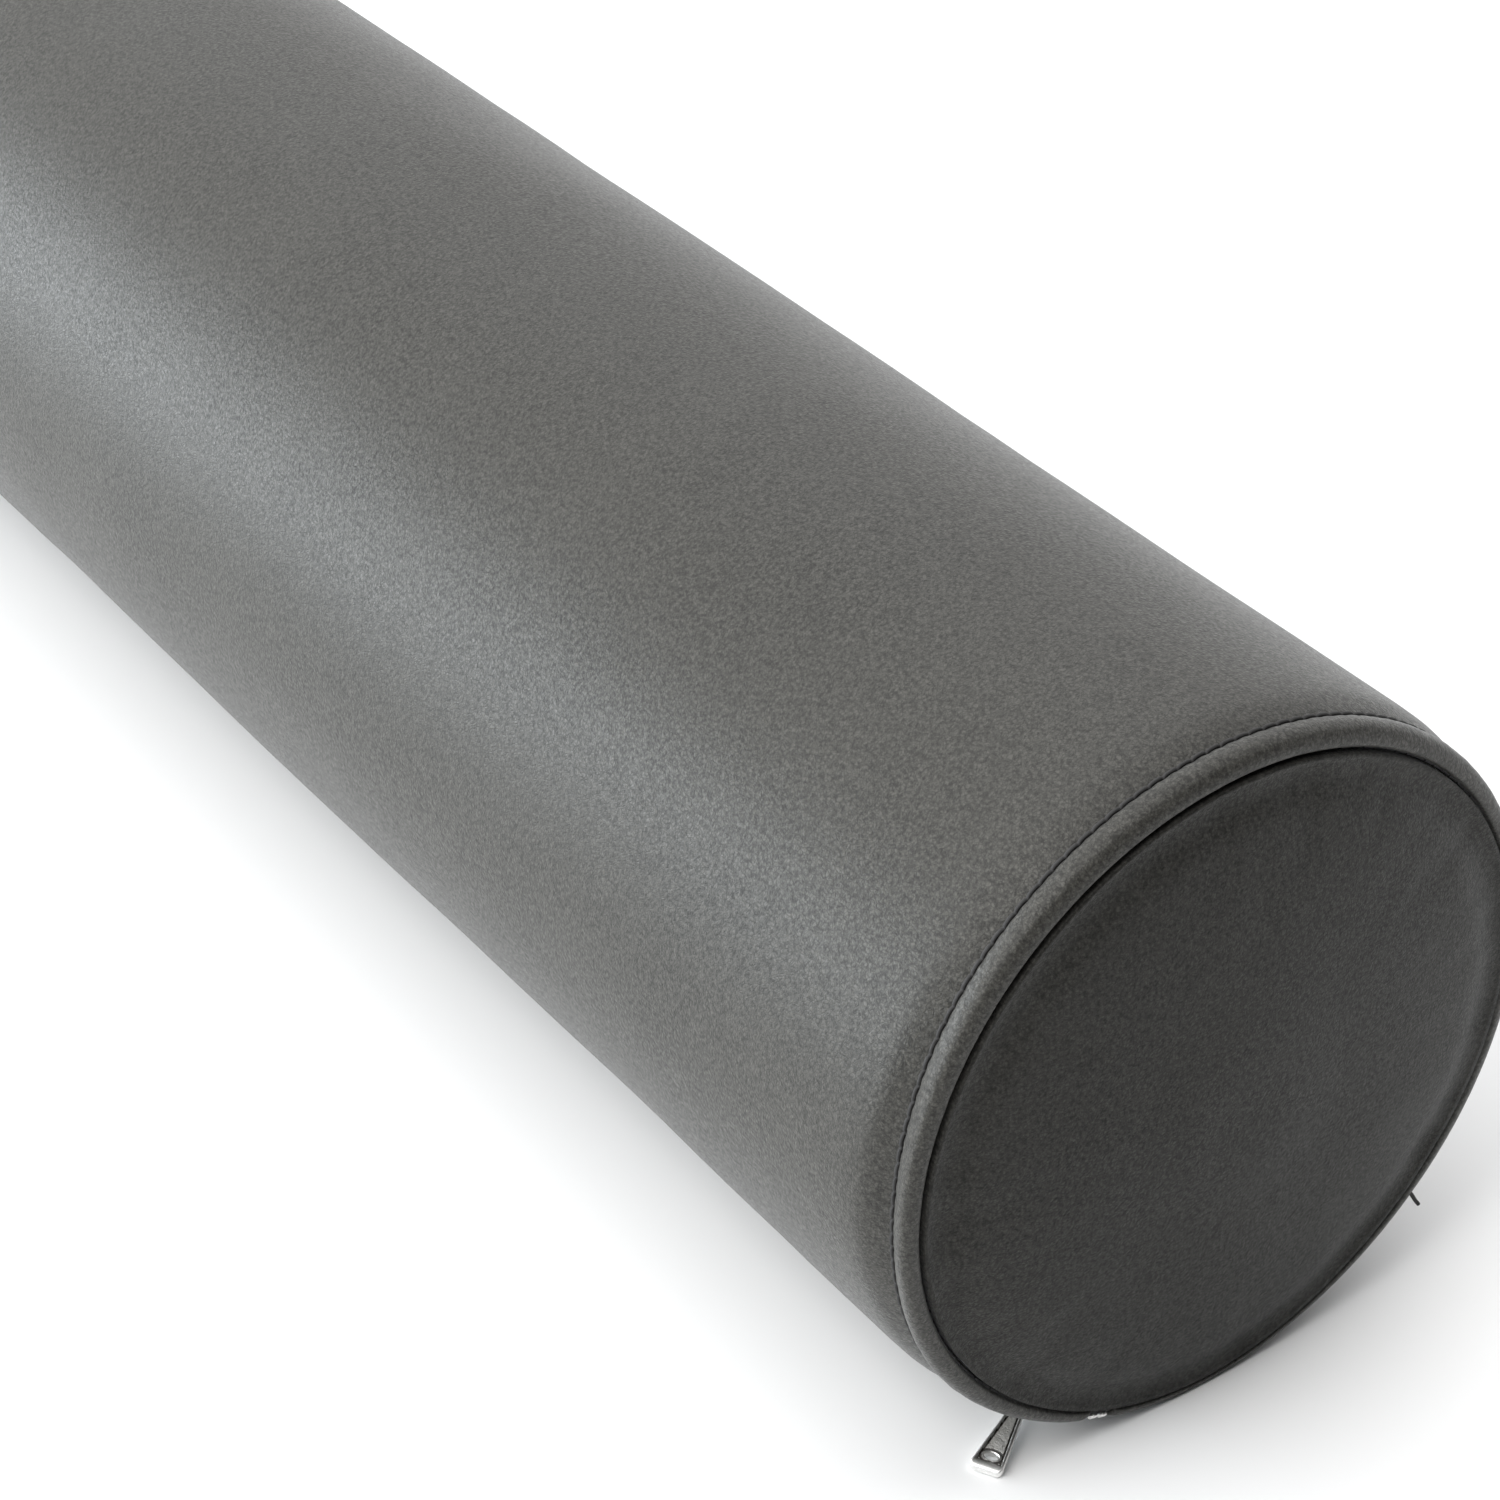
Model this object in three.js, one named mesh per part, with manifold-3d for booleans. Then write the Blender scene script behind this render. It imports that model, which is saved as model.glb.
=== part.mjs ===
// A round bolster pillow: a foam core in a lined, zipped leather cover, lying on its side.
// Millimetres. +X runs along the bolster towards the end where the zip closes, +Z is up, and the
// origin is on the ground in the middle of the flat that the bolster rests on.
import * as THREE from "three";
import { mergeVertices } from "three/addons/utils/BufferGeometryUtils.js";
import Module from "manifold-3d";

// ---- Overall sizes ----
const diameter = 150;
const seamToSeam = 646; // between the two end seams
const endCrown = 7; // how far each end panel domes past its seam
const flatDepth = 1; // how far the weight presses the underside flat

// ---- Cover ----
const leather = 1.2; // leather thickness
const bandDrop = 5.7; // how far the rolled rim comes in from the tube to the end seam
const bandDepth = 5.2; // length of the rolled rim along the bolster
const bandSink = 0.2; // the rim's crest below the tube's surface
const stitchSetback = 6.3; // topstitch line to end seam, along the bolster
const grooveDepth = 0.9; // pucker that the topstitch pulls in
const grooveHalfWidth = 0.45;
const grooveSlope = 0.6;
const seamValley = 1.1; // between the rim and the end panel
const turnedEdge = 6; // end panel's edge, turned inwards at the seam
const threadRadius = 0.25;
const slitReach = 20; // how far a cutting block runs past what it cuts

// ---- Zip ----
const zipAngle = 20.5; // degrees round from the underside
const closingSeam = 86; // plain seam behind the zip, up to the rear end seam
const lipClearance = 0.4; // between the slider and each of the cover's lips
const bandLipClearance = 0.95; // between the teeth and each lip, where the zip crosses the rolled rim
const tapeThickness = 0.6;
const tapeReach = 14; // centre of the zip to a tape's outer edge
const rowInner = 0.55; // centre of the zip to a row of teeth
const rowWidth = 2;
const rowHeight = 2.2;
const closingGap = 1.2; // closing seam behind the zip
const bottomStopLength = 4;
const stopWidth = 1.3;
const stopLength = 2;
const stopThickness = 0.9;
const tapeTurnLength = 2.9; // ends of the tapes, turned down into the end seam
const tapeTurnSlope = 48; // degrees
const tapeTail = 6; // tape behind the bottom stop
const tapeStitchInset = 2.2; // each lip's edge to the stitching that holds its tape
const tapeStitchSetback = 3; // the stitching stops this far short of the zip's ends
const chainSetback = 3; // teeth to end seam

// ---- Slider and pull ----
const sliderLength = 11;
const sliderSetback = 21; // end seam to the slider as it was left
const plateThickness = 0.8;
const flangeWidth = 0.85;
const flangeClearance = 0.8; // between the teeth and a flange
const postThickness = 0.5;
const postLength = 2.6;
const crownWidth = 2;
const crownThickness = 0.8;
const crownFootRadius = 0.8;
const crownFrontFoot = 3.2; // slider's centre to the round front foot
const crownRearFoot = 3.7; // slider's centre to the rear foot
const rearFootHalf = 0.6;
const linkThickness = 0.9;
const linkHeading = 60.4; // degrees from +X towards the side, seen from above
const linkLength = 6; // foot to cross pin
const linkRise = 0.45; // cross pin above the link's eye
const linkWireWidth = 0.8;
const linkPinRadius = 0.5;
const linkPlay = 0.37; // between the link's eye and the crown's window, above and below
const eyePlay = 0.45; // between the crown's round foot and the link's eye
const eyeWall = 0.95;
const armOverlap = 0.15; // how far the arms start inside the eye's wall
const knuckleWall = 0.5;
const knuckleWidth = 1.7;
const tabLength = 19.5; // cross pin to tip
const tabThickness = 1.7;
const tabTipWidth = 6.8;
const tabTaper = 0.235; // width lost for each millimetre from the tip
const tabNeckLength = 2.4;
const tabCorner = 1.4; // rounding of the tip's corners
const tabRim = 0.9;
const tabPanelSetback = 1.2; // plate's start to the sunk panel
const tabPanelCorner = 0.3;
const tabRecess = 0.35;
const tabEyeRadius = 1.55;
const tabEyeStretch = 0.62; // the eye is shorter along the tab than across it
const tabEyeSetback = 3.4; // the eye's centre to the tip
const tabGroundGap = 0.25; // tab's tip above the ground

// ---- Inside ----
const linerThickness = 0.6;
const linerClearance = 0.5; // under the cover's thickest place
const foamChamfer = 3.6;
const foamShoulder = 1; // the core's rim to the end seam

// ---- Fits ----
const gap = 0.3; // between pieces that lie against each other
const overlap = 0.1; // how far one block of a piece runs into, or stops short of, its neighbour
const roundSteps = 60;
const postSteps = 16;
const boreSteps = 24;

// ---- Worked out ----
const radius = diameter / 2;
const axisHeight = radius - flatDepth;
const flatCosine = axisHeight / radius;
const seamX = seamToSeam / 2;
const seamRadius = radius - bandDrop;
const grooveFloor = radius - grooveDepth;
const underGroove = grooveFloor - leather;
const panelRadius = seamRadius - seamValley;
const topstitchRadius = grooveFloor + gap + threadRadius;
const zipRadians = THREE.MathUtils.degToRad(zipAngle);
const outward = new THREE.Vector3(0, -Math.sin(zipRadians), -Math.cos(zipRadians));
const sideways = new THREE.Vector3(0, -Math.cos(zipRadians), Math.sin(zipRadians));
const zipSurface = new THREE.Vector3(0, 0, axisHeight).addScaledVector(outward, radius);

const tapeTop = -leather - gap;
const chainMiddle = tapeTop - tapeThickness / 2;
const chainOuter = rowInner + rowWidth;
const sliderWidth = 2 * (chainOuter + flangeClearance + flangeWidth);
const lipGap = sliderWidth + 2 * lipClearance;
const bandLipGap = 2 * (chainOuter + bandLipClearance);
const plateInner = rowHeight / 2 + gap;
const plateOuter = plateInner + plateThickness;
const plateTop = chainMiddle + plateOuter;
const plateBottom = chainMiddle - plateOuter;
const chainFront = seamX - chainSetback;
const tapeFront = seamX - stitchSetback - 2 * (grooveHalfWidth + grooveSlope) - gap;
const zipRear = closingSeam - seamX;
const linerRadius = underGroove - linerClearance;
const zipRoom = radius + plateBottom - gap;

const sliderX = seamX - sliderSetback;
const footX = sliderX + crownFrontFoot;
const windowHeight = linkThickness + 2 * linkPlay;
const linkMiddle = plateTop + windowHeight / 2;
const crownUnder = plateTop + windowHeight;
const eyeInner = crownFootRadius + eyePlay;
const eyeOuter = eyeInner + eyeWall;
const knuckleInner = linkPinRadius + gap;
const knuckleOuter = knuckleInner + knuckleWall;
const armInner = knuckleWidth / 2 + gap;

const wasm = await Module();
wasm.setup();

const leatherLook = { color: 0x4b4a48, roughness: 0.55, metalness: 0 };
const threadLook = { color: 0x161616, roughness: 0.8, metalness: 0 };
const tapeLook = { color: 0x1d1d1d, roughness: 0.9, metalness: 0 };
const toothLook = { color: 0x202022, roughness: 0.5, metalness: 0 };
const metalLook = { color: 0xb9bcc0, roughness: 0.25, metalness: 1 };
const linerLook = { color: 0xe6e4de, roughness: 0.95, metalness: 0 };
const foamLook = { color: 0xefe9cf, roughness: 1, metalness: 0 };

const bolster = new THREE.Group();

// Pieces of the zip are laid out in this group: x along the zip, y sideways, z out of the cover.
const zipFrame = new THREE.Group();
zipFrame.applyMatrix4(new THREE.Matrix4().makeBasis(new THREE.Vector3(1, 0, 0), sideways, outward));
zipFrame.position.copy(zipSurface);
bolster.add(zipFrame);

function addPiece(name, geometry, look, parent = bolster) {
  const mesh = new THREE.Mesh(geometry, new THREE.MeshStandardMaterial(look));
  mesh.name = name;
  parent.add(mesh);
  return mesh;
}

// ---- Solids ----

function toSolid(geometry) {
  const bare = geometry.clone();
  bare.deleteAttribute("normal");
  bare.deleteAttribute("uv");
  const merged = mergeVertices(bare, 1e-3);
  return new wasm.Manifold(
    new wasm.Mesh({
      numProp: 3,
      vertProperties: merged.attributes.position.array,
      triVerts: new Uint32Array(merged.index.array),
    }),
  );
}

function toGeometry(solid) {
  const mesh = solid.getMesh();
  const geometry = new THREE.BufferGeometry();
  geometry.setAttribute("position", new THREE.BufferAttribute(mesh.vertProperties.slice(), 3));
  geometry.setIndex(new THREE.BufferAttribute(mesh.triVerts.slice(), 1));
  geometry.computeVertexNormals();
  return geometry;
}

function join(geometries) {
  const solids = geometries.map(toSolid);
  return toGeometry(solids.reduce((sum, solid) => sum.add(solid)));
}

function cut(geometry, tools) {
  return toGeometry(tools.map(toSolid).reduce((rest, tool) => rest.subtract(tool), toSolid(geometry)));
}

function block(x0, x1, y0, y1, z0, z1) {
  const geometry = new THREE.BoxGeometry(x1 - x0, y1 - y0, z1 - z0);
  return geometry.translate((x0 + x1) / 2, (y0 + y1) / 2, (z0 + z1) / 2);
}

function rod(rodRadius, length, sides) {
  return new THREE.CylinderGeometry(rodRadius, rodRadius, length, sides);
}

// A flat outline given a thickness, from one height to another.
function slab(shape, z0, z1, curveSegments) {
  const geometry = new THREE.ExtrudeGeometry(shape, { depth: z1 - z0, bevelEnabled: false, curveSegments });
  return geometry.translate(0, 0, z0);
}

// Turns a profile of [radius, x] points round the bolster's axis.
function turn(profile) {
  const points = profile.map(([r, x]) => new THREE.Vector2(Math.max(r, 0), x));
  const halfStep = Math.PI / roundSteps;
  const geometry = new THREE.LatheGeometry(points, roundSteps, halfStep, 2 * Math.PI);
  return geometry.rotateZ(-Math.PI / 2).translate(0, 0, axisHeight);
}

// Presses a round shape flat where it meets the ground: every layer by its share of the radius.
function pressFlat(geometry) {
  const position = geometry.attributes.position;
  for (let i = 0; i < position.count; i++) {
    const r = Math.hypot(position.getY(i), position.getZ(i) - axisHeight);
    position.setZ(i, Math.max(position.getZ(i), axisHeight - r * flatCosine));
  }
  return geometry;
}

// Presses the stuffing in along the zip, to leave the slider's inner plate its room.
function pressUnderZip(geometry, outerRadius, depthInside) {
  const position = geometry.attributes.position;
  const point = new THREE.Vector3();
  for (let i = 0; i < position.count; i++) {
    point.fromBufferAttribute(position, i);
    const r = Math.hypot(point.y, point.z - axisHeight);
    const reach = point.y * outward.y + (point.z - axisHeight) * outward.z;
    const limit = (r * (zipRoom - depthInside)) / outerRadius;
    if (reach > limit) point.addScaledVector(outward, limit - reach);
    position.setXYZ(i, point.x, point.y, point.z);
  }
  return geometry;
}

// A quarter of an ellipse from (r0, x0), where it leaves along the axis, in to (r1, x1).
function rolledEdge(r0, x0, r1, x1, steps) {
  const points = [];
  for (let i = 0; i <= steps; i++) {
    const angle = (i / steps) * (Math.PI / 2);
    points.push([r1 + (r0 - r1) * Math.cos(angle), x0 + (x1 - x0) * Math.sin(angle)]);
  }
  return points;
}

// The domed face of an end piece, from its rim to the middle.
function dome(rim, rimX, crown, steps) {
  const points = [];
  for (let i = 0; i <= steps; i++) {
    const share = Math.cos((i / steps) * (Math.PI / 2));
    points.push([rim * share, rimX + crown * (1 - share ** 2.4)]);
  }
  points[steps][0] = 0;
  return points;
}

const mirrored = (points) => points.map(([r, x]) => [r, -x]).reverse();

// A section in the zip's y-z plane, drawn out along x.
function along(shape, x0, x1, curveSegments = 6) {
  const geometry = new THREE.ExtrudeGeometry(shape, { depth: x1 - x0, bevelEnabled: false, curveSegments });
  const basis = new THREE.Matrix4().makeBasis(
    new THREE.Vector3(0, 1, 0),
    new THREE.Vector3(0, 0, 1),
    new THREE.Vector3(1, 0, 0),
  );
  return geometry.applyMatrix4(basis).translate(x0, 0, 0);
}

// A strip that follows the round of the cover, between two depths and two distances off centre.
function curvedStrip(top, bottom, from, to) {
  const middle = radius + (top + bottom) / 2;
  const start = Math.PI / 2 - to / middle;
  const end = Math.PI / 2 - from / middle;
  const shape = new THREE.Shape();
  shape.absarc(0, -radius, radius + top, start, end, false);
  shape.absarc(0, -radius, radius + bottom, end, start, true);
  return shape;
}

// ---- Cover ----

// The tube's leather: the rolled rim at each end, the topstitch grooves and the wall between.
function tubeShell() {
  const crest = radius - bandSink;
  const grooveX = seamX - stitchSetback;
  const front = [
    [radius, grooveX - grooveHalfWidth - grooveSlope],
    [grooveFloor, grooveX - grooveHalfWidth],
    [grooveFloor, grooveX + grooveHalfWidth],
    ...rolledEdge(crest, seamX - bandDepth, seamRadius, seamX, 3),
  ];
  const frontInside = [
    ...rolledEdge(underGroove, seamX - bandDepth, seamRadius, seamX - leather, 2).reverse(),
    [underGroove, grooveX - grooveHalfWidth - grooveSlope],
    [radius - leather, grooveX - 2 * (grooveHalfWidth + grooveSlope)],
  ];
  const outline = [...mirrored(front), ...front, ...frontInside, ...mirrored(frontInside)];
  return pressFlat(turn([...outline, outline[0]]));
}

// The slits between the tube's two edges: wide along the zip, narrow along the closing seam.
function tubeSlits() {
  const bandStart = seamX - stitchSetback - grooveHalfWidth - grooveSlope;
  const slits = [
    block(zipRear, bandStart, -lipGap / 2, lipGap / 2, -slitReach, slitReach),
    block(bandStart - 1, seamX + slitReach, -bandLipGap / 2, bandLipGap / 2, -slitReach, slitReach),
    block(-seamX - slitReach, zipRear + 1, -closingGap / 2, closingGap / 2, -slitReach, slitReach),
  ];
  zipFrame.updateMatrix();
  return slits.map((slit) => slit.applyMatrix4(zipFrame.matrix));
}

// An end panel: domed leather with its edge turned in at the seam.
function endShell(rim, wall, rimX, crown, edge, steps) {
  const outline = [
    [rim - wall, rimX - edge],
    [rim, rimX - edge],
    ...dome(rim, rimX, crown, steps),
  ];
  const inside = dome(rim - wall, rimX, crown - wall, steps);
  return [...outline, ...inside.reverse(), outline[0]];
}

function facing(profile, side) {
  return side > 0 ? profile : mirrored(profile);
}

function addCover() {
  addPiece("cover_tube", cut(tubeShell(), tubeSlits()), leatherLook);
  const panel = endShell(panelRadius, leather, seamX, endCrown, turnedEdge, 5);
  for (const [end, side] of [["front", 1], ["rear", -1]]) {
    addPiece(`${end}_end_panel`, pressFlat(turn(facing(panel, side))), leatherLook);
  }
}

// ---- Sewing thread ----

// A thread laid round the bolster at one radius.
function threadRing(ringRadius, x) {
  const sides = 4;
  const profile = [];
  for (let i = 0; i <= sides; i++) {
    const angle = (i / sides) * 2 * Math.PI;
    profile.push([ringRadius + threadRadius * Math.cos(angle), x + threadRadius * Math.sin(angle)]);
  }
  return pressFlat(turn(profile));
}

function addThreads() {
  const zipSlit = tubeSlits()[1];
  const clear = lipGap / 2 + gap;
  const wideSlit = block(0, seamX, -clear, clear, -slitReach, slitReach).applyMatrix4(zipFrame.matrix);
  const grooveX = seamX - stitchSetback;
  const valleyRadius = seamRadius - seamValley / 2;
  const valleyX = seamX - leather / 2;
  addPiece("front_topstitch", cut(threadRing(topstitchRadius, grooveX), [wideSlit]), threadLook);
  addPiece("rear_topstitch", threadRing(topstitchRadius, -grooveX), threadLook);
  addPiece("front_seam_thread", cut(threadRing(valleyRadius, valleyX), [zipSlit]), threadLook);
  addPiece("rear_seam_thread", threadRing(valleyRadius, -valleyX), threadLook);

  const closingStart = -grooveX + grooveHalfWidth + grooveSlope + gap;
  const closing = block(
    closingStart, zipRear - gap,
    -threadRadius, threadRadius,
    -leather / 2 - threadRadius, -leather / 2 + threadRadius,
  );
  addPiece("closing_seam_thread", closing, threadLook, zipFrame);

  // A row of stitching in each lip holds the tape; it shows as a line sunk in the leather's inside.
  for (const [row, side] of [["near", 1], ["far", -1]]) {
    const offset = (lipGap / 2 + tapeStitchInset) * side;
    const under = tapeTop - tapeThickness - gap;
    const line = curvedStrip(under, under - 2 * threadRadius, offset - threadRadius, offset + threadRadius);
    const stitches = along(line, zipRear + tapeStitchSetback, chainFront - tapeStitchSetback, 2);
    addPiece(`zip_stitching_${row}`, stitches, threadLook, zipFrame);
  }
}

// ---- Zip ----

// One tape, with its front end turned down into the end seam.
function zipTape(side) {
  const inner = (chainOuter + gap) * side;
  const outer = tapeReach * side;
  const strip = curvedStrip(
    tapeTop, tapeTop - tapeThickness,
    Math.min(inner, outer), Math.max(inner, outer),
  );
  const flat = along(strip, zipRear - tapeTail, tapeFront, 8);
  const turnWidth = bandLipGap / 2 - gap;
  const turned = block(
    -gap - overlap, tapeTurnLength,
    Math.min(rowInner * side, turnWidth * side), Math.max(rowInner * side, turnWidth * side),
    -tapeThickness / 2, tapeThickness / 2,
  );
  turned.rotateY(THREE.MathUtils.degToRad(tapeTurnSlope));
  turned.translate(chainFront + gap, 0, chainMiddle - gap);
  const narrow = block(
    tapeFront - 1, chainFront + gap,
    Math.min(inner, turnWidth * side), Math.max(inner, turnWidth * side),
    tapeTop - tapeThickness + overlap / 2, tapeTop - overlap,
  );
  return join([flat, narrow, turned]);
}

// One row of teeth, as the bar they fill.
function toothRow(side) {
  const inner = rowInner * side;
  const outer = chainOuter * side;
  return block(
    zipRear + bottomStopLength, chainFront - gap,
    Math.min(inner, outer), Math.max(inner, outer),
    chainMiddle - rowHeight / 2, chainMiddle + rowHeight / 2,
  );
}

// A metal stop, clamped on the turned end of a tape.
function topStop(side) {
  const lift = tapeThickness / 2 + gap;
  const stop = block(gap, gap + stopLength, -stopWidth / 2, stopWidth / 2, lift, lift + stopThickness);
  stop.rotateY(THREE.MathUtils.degToRad(tapeTurnSlope));
  return stop.translate(chainFront + gap, (rowInner + stopWidth / 2) * side, chainMiddle - gap);
}

function bottomStop() {
  return block(
    zipRear + gap, zipRear + bottomStopLength - gap,
    -chainOuter, chainOuter,
    chainMiddle - rowHeight / 2, chainMiddle + rowHeight / 2,
  );
}

function addZip() {
  for (const [row, side] of [["near", 1], ["far", -1]]) {
    addPiece(`zip_tape_${row}`, zipTape(side), tapeLook, zipFrame);
    addPiece(`zip_teeth_${row}`, toothRow(side), toothLook, zipFrame);
    addPiece(`zip_top_stop_${row}`, topStop(side), metalLook, zipFrame);
  }
  addPiece("zip_bottom_stop", bottomStop(), metalLook, zipFrame);
}

// ---- Slider ----

// Two plates, the flanges that hold the teeth between them, and the post that parts the rows.
function sliderBody() {
  const x0 = sliderX - sliderLength / 2;
  const x1 = sliderX + sliderLength / 2;
  const half = sliderWidth / 2;
  const tapeRoom = tapeThickness / 2 + gap + overlap / 2;
  const innerFace = plateBottom + overlap;
  const outerFace = plateTop - overlap;
  const parts = [
    block(x0, x1, -half, half, chainMiddle + plateInner, plateTop),
    block(x0, x1, -half, half, plateBottom, chainMiddle - plateInner),
    block(x1 - postLength, x1, -postThickness / 2, postThickness / 2, innerFace, outerFace),
  ];
  for (const side of [1, -1]) {
    const y0 = Math.min(side * half, side * (half - flangeWidth));
    const y1 = Math.max(side * half, side * (half - flangeWidth));
    parts.push(block(x0, x1, y0, y1, chainMiddle + tapeRoom, outerFace));
    parts.push(block(x0, x1, y0, y1, innerFace, chainMiddle - tapeRoom));
  }
  return join(parts);
}

// The crown: a bar on two feet, with a round front foot that the link's eye turns on.
function sliderCrown() {
  const half = crownWidth / 2;
  const top = crownUnder + crownThickness;
  const bottom = plateTop + gap;
  const footTop = top - overlap;
  const frontFoot = rod(crownFootRadius, footTop - bottom, postSteps);
  frontFoot.rotateX(Math.PI / 2).translate(footX, 0, (footTop + bottom) / 2);
  const rear = sliderX - crownRearFoot;
  return join([
    block(rear - rearFootHalf, footX + crownFootRadius + overlap, -half, half, crownUnder, top),
    block(rear - rearFootHalf, rear + rearFootHalf, -half + overlap, half - overlap, bottom, footTop),
    frontFoot,
  ]);
}

// ---- Pull ----

// The link and the tab are laid out in frames whose x points away from the crown's front foot.
const heading = THREE.MathUtils.degToRad(linkHeading);
const footPoint = zipSurface.clone().addScaledVector(outward, linkMiddle).setX(footX);
const linkFrame = new THREE.Group();
linkFrame.position.copy(footPoint);
linkFrame.rotation.z = -heading;
bolster.add(linkFrame);

const pinHeight = footPoint.z + linkRise;
const tabDip = Math.asin((pinHeight - tabThickness / 2 - tabGroundGap) / tabLength);
const tabFrame = new THREE.Group();
tabFrame.position.set(linkLength, 0, linkRise);
tabFrame.rotation.y = tabDip;
linkFrame.add(tabFrame);

// The link: an eye square to the crown's foot, two arms and the cross pin that carries the tab.
function pullLink() {
  linkFrame.updateMatrix();
  const eyeShape = new THREE.Shape().absarc(0, 0, eyeOuter, 0, 2 * Math.PI, false);
  eyeShape.holes.push(new THREE.Path().absarc(0, 0, eyeInner, 0, 2 * Math.PI, true));
  const half = linkThickness / 2;
  const eye = slab(eyeShape, -half, half, boreSteps);
  eye.applyMatrix4(new THREE.Matrix4().makeBasis(new THREE.Vector3(1, 0, 0), sideways, outward));
  eye.applyMatrix4(new THREE.Matrix4().makeRotationZ(heading));

  const pieces = [eye];
  const armStart = eyeInner + armOverlap;
  const armRise = armStart * Math.tan(zipRadians) * Math.sin(heading);
  const armDip = Math.atan2(linkRise - armRise, linkLength - armStart);
  for (const side of [1, -1]) {
    const arm = block(
      0, (linkLength - armStart) / Math.cos(armDip),
      -linkWireWidth / 2, linkWireWidth / 2,
      -half, half,
    );
    arm.rotateY(-armDip).translate(armStart, side * (armInner + linkWireWidth / 2), armRise);
    pieces.push(arm);
    const end = rod(half + overlap, linkWireWidth, postSteps);
    pieces.push(end.translate(linkLength, side * (armInner + linkWireWidth / 2), linkRise));
  }
  const webHalf = armInner + overlap;
  const web = block(0, 1, -webHalf, webHalf, -half + overlap / 2, half - overlap / 2);
  pieces.push(web.rotateY(-armDip).translate(armStart, 0, armRise));
  const pin = rod(linkPinRadius, 2 * armInner + linkWireWidth, postSteps);
  pieces.push(pin.translate(linkLength, 0, linkRise));
  return join(pieces);
}

function tabWidthAt(x) {
  return tabTipWidth - tabTaper * (tabLength - x);
}

// The tab's outline from its neck to its rounded tip, moved in by an inset.
function tabOutline(x0, x1, inset, corner) {
  const y0 = tabWidthAt(x0) / 2 - inset;
  const y1 = tabWidthAt(x1) / 2 - inset;
  const shape = new THREE.Shape();
  shape.moveTo(x0, -y0);
  shape.lineTo(x1 - corner, -y1);
  shape.quadraticCurveTo(x1, -y1, x1, -y1 + corner);
  shape.lineTo(x1, y1 - corner);
  shape.quadraticCurveTo(x1, y1, x1 - corner, y1);
  shape.lineTo(x0, y0);
  shape.closePath();
  return shape;
}

// The tab: a knuckle on the link's pin, a neck, and a tapered plate with a sunk panel and an eye.
function pullTab() {
  const half = tabThickness / 2;
  const neckHalf = half - overlap;
  const plateStart = tabNeckLength - 2 * overlap;
  const plate = slab(tabOutline(plateStart, tabLength, 0, tabCorner), -half, half, 4);
  const neck = block(
    knuckleOuter - gap, tabNeckLength,
    -knuckleWidth / 2, knuckleWidth / 2,
    -neckHalf, neckHalf,
  );
  const body = join([rod(knuckleOuter, knuckleWidth, boreSteps), neck, plate]);

  const eyeX = tabLength - tabEyeSetback;
  const panelEnd = eyeX - tabEyeRadius - gap;
  const panel = tabOutline(plateStart + tabPanelSetback, panelEnd, tabRim, tabPanelCorner);
  const eye = rod(tabEyeRadius, 4 * half, boreSteps).rotateX(Math.PI / 2).scale(tabEyeStretch, 1, 1);
  return cut(body, [
    rod(knuckleInner, 2 * knuckleWidth, boreSteps),
    slab(panel, half - tabRecess, half + 1, 4),
    eye.translate(eyeX, 0, 0),
  ]);
}

function addSliderAndPull() {
  addPiece("slider_body", sliderBody(), metalLook, zipFrame);
  addPiece("slider_crown", sliderCrown(), metalLook, zipFrame);
  addPiece("pull_link", pullLink(), metalLook, linkFrame);
  addPiece("pull_tab", pullTab(), metalLook, tabFrame);
}

// ---- Filling ----

const linerShoulderX = seamX - turnedEdge - gap;
const linerEdge = panelRadius - leather - gap;

// The liner's sleeve: a tube whose ends are gathered in to meet its caps.
function linerSleeve() {
  const half = [
    [linerRadius, linerShoulderX - foamChamfer],
    [linerEdge, linerShoulderX],
  ];
  const inside = half.map(([r, x]) => [r - linerThickness, x]).reverse();
  const outline = [...mirrored(half), ...half, ...inside, ...mirrored(inside)];
  return pressUnderZip(pressFlat(turn([...outline, outline[0]])), linerRadius, 0);
}

function foamCore() {
  const inset = linerThickness + gap;
  const coreRadius = linerRadius - inset;
  const rim = linerEdge - inset;
  const crown = endCrown - leather - 2 * gap - linerThickness;
  const half = [
    [coreRadius, linerShoulderX - foamChamfer],
    [rim, linerShoulderX],
    ...dome(rim, seamX - foamShoulder, crown - gap, 3),
  ];
  return pressUnderZip(pressFlat(turn([...mirrored(half), ...half])), coreRadius, inset);
}

function addFilling() {
  addPiece("liner_sleeve", linerSleeve(), linerLook);
  const capCrown = endCrown - leather - gap;
  const cap = endShell(linerEdge, linerThickness, seamX - gap, capCrown, turnedEdge - gap, 3);
  for (const [end, side] of [["front", 1], ["rear", -1]]) {
    addPiece(`liner_${end}_cap`, pressFlat(turn(facing(cap, side))), linerLook);
  }
  addPiece("foam_core", foamCore(), foamLook);
}

addCover();
addThreads();
addZip();
addSliderAndPull();
addFilling();

export default bolster;
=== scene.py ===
import math
import bmesh
import bpy
import numpy as np
from mathutils import Matrix, Vector


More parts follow.
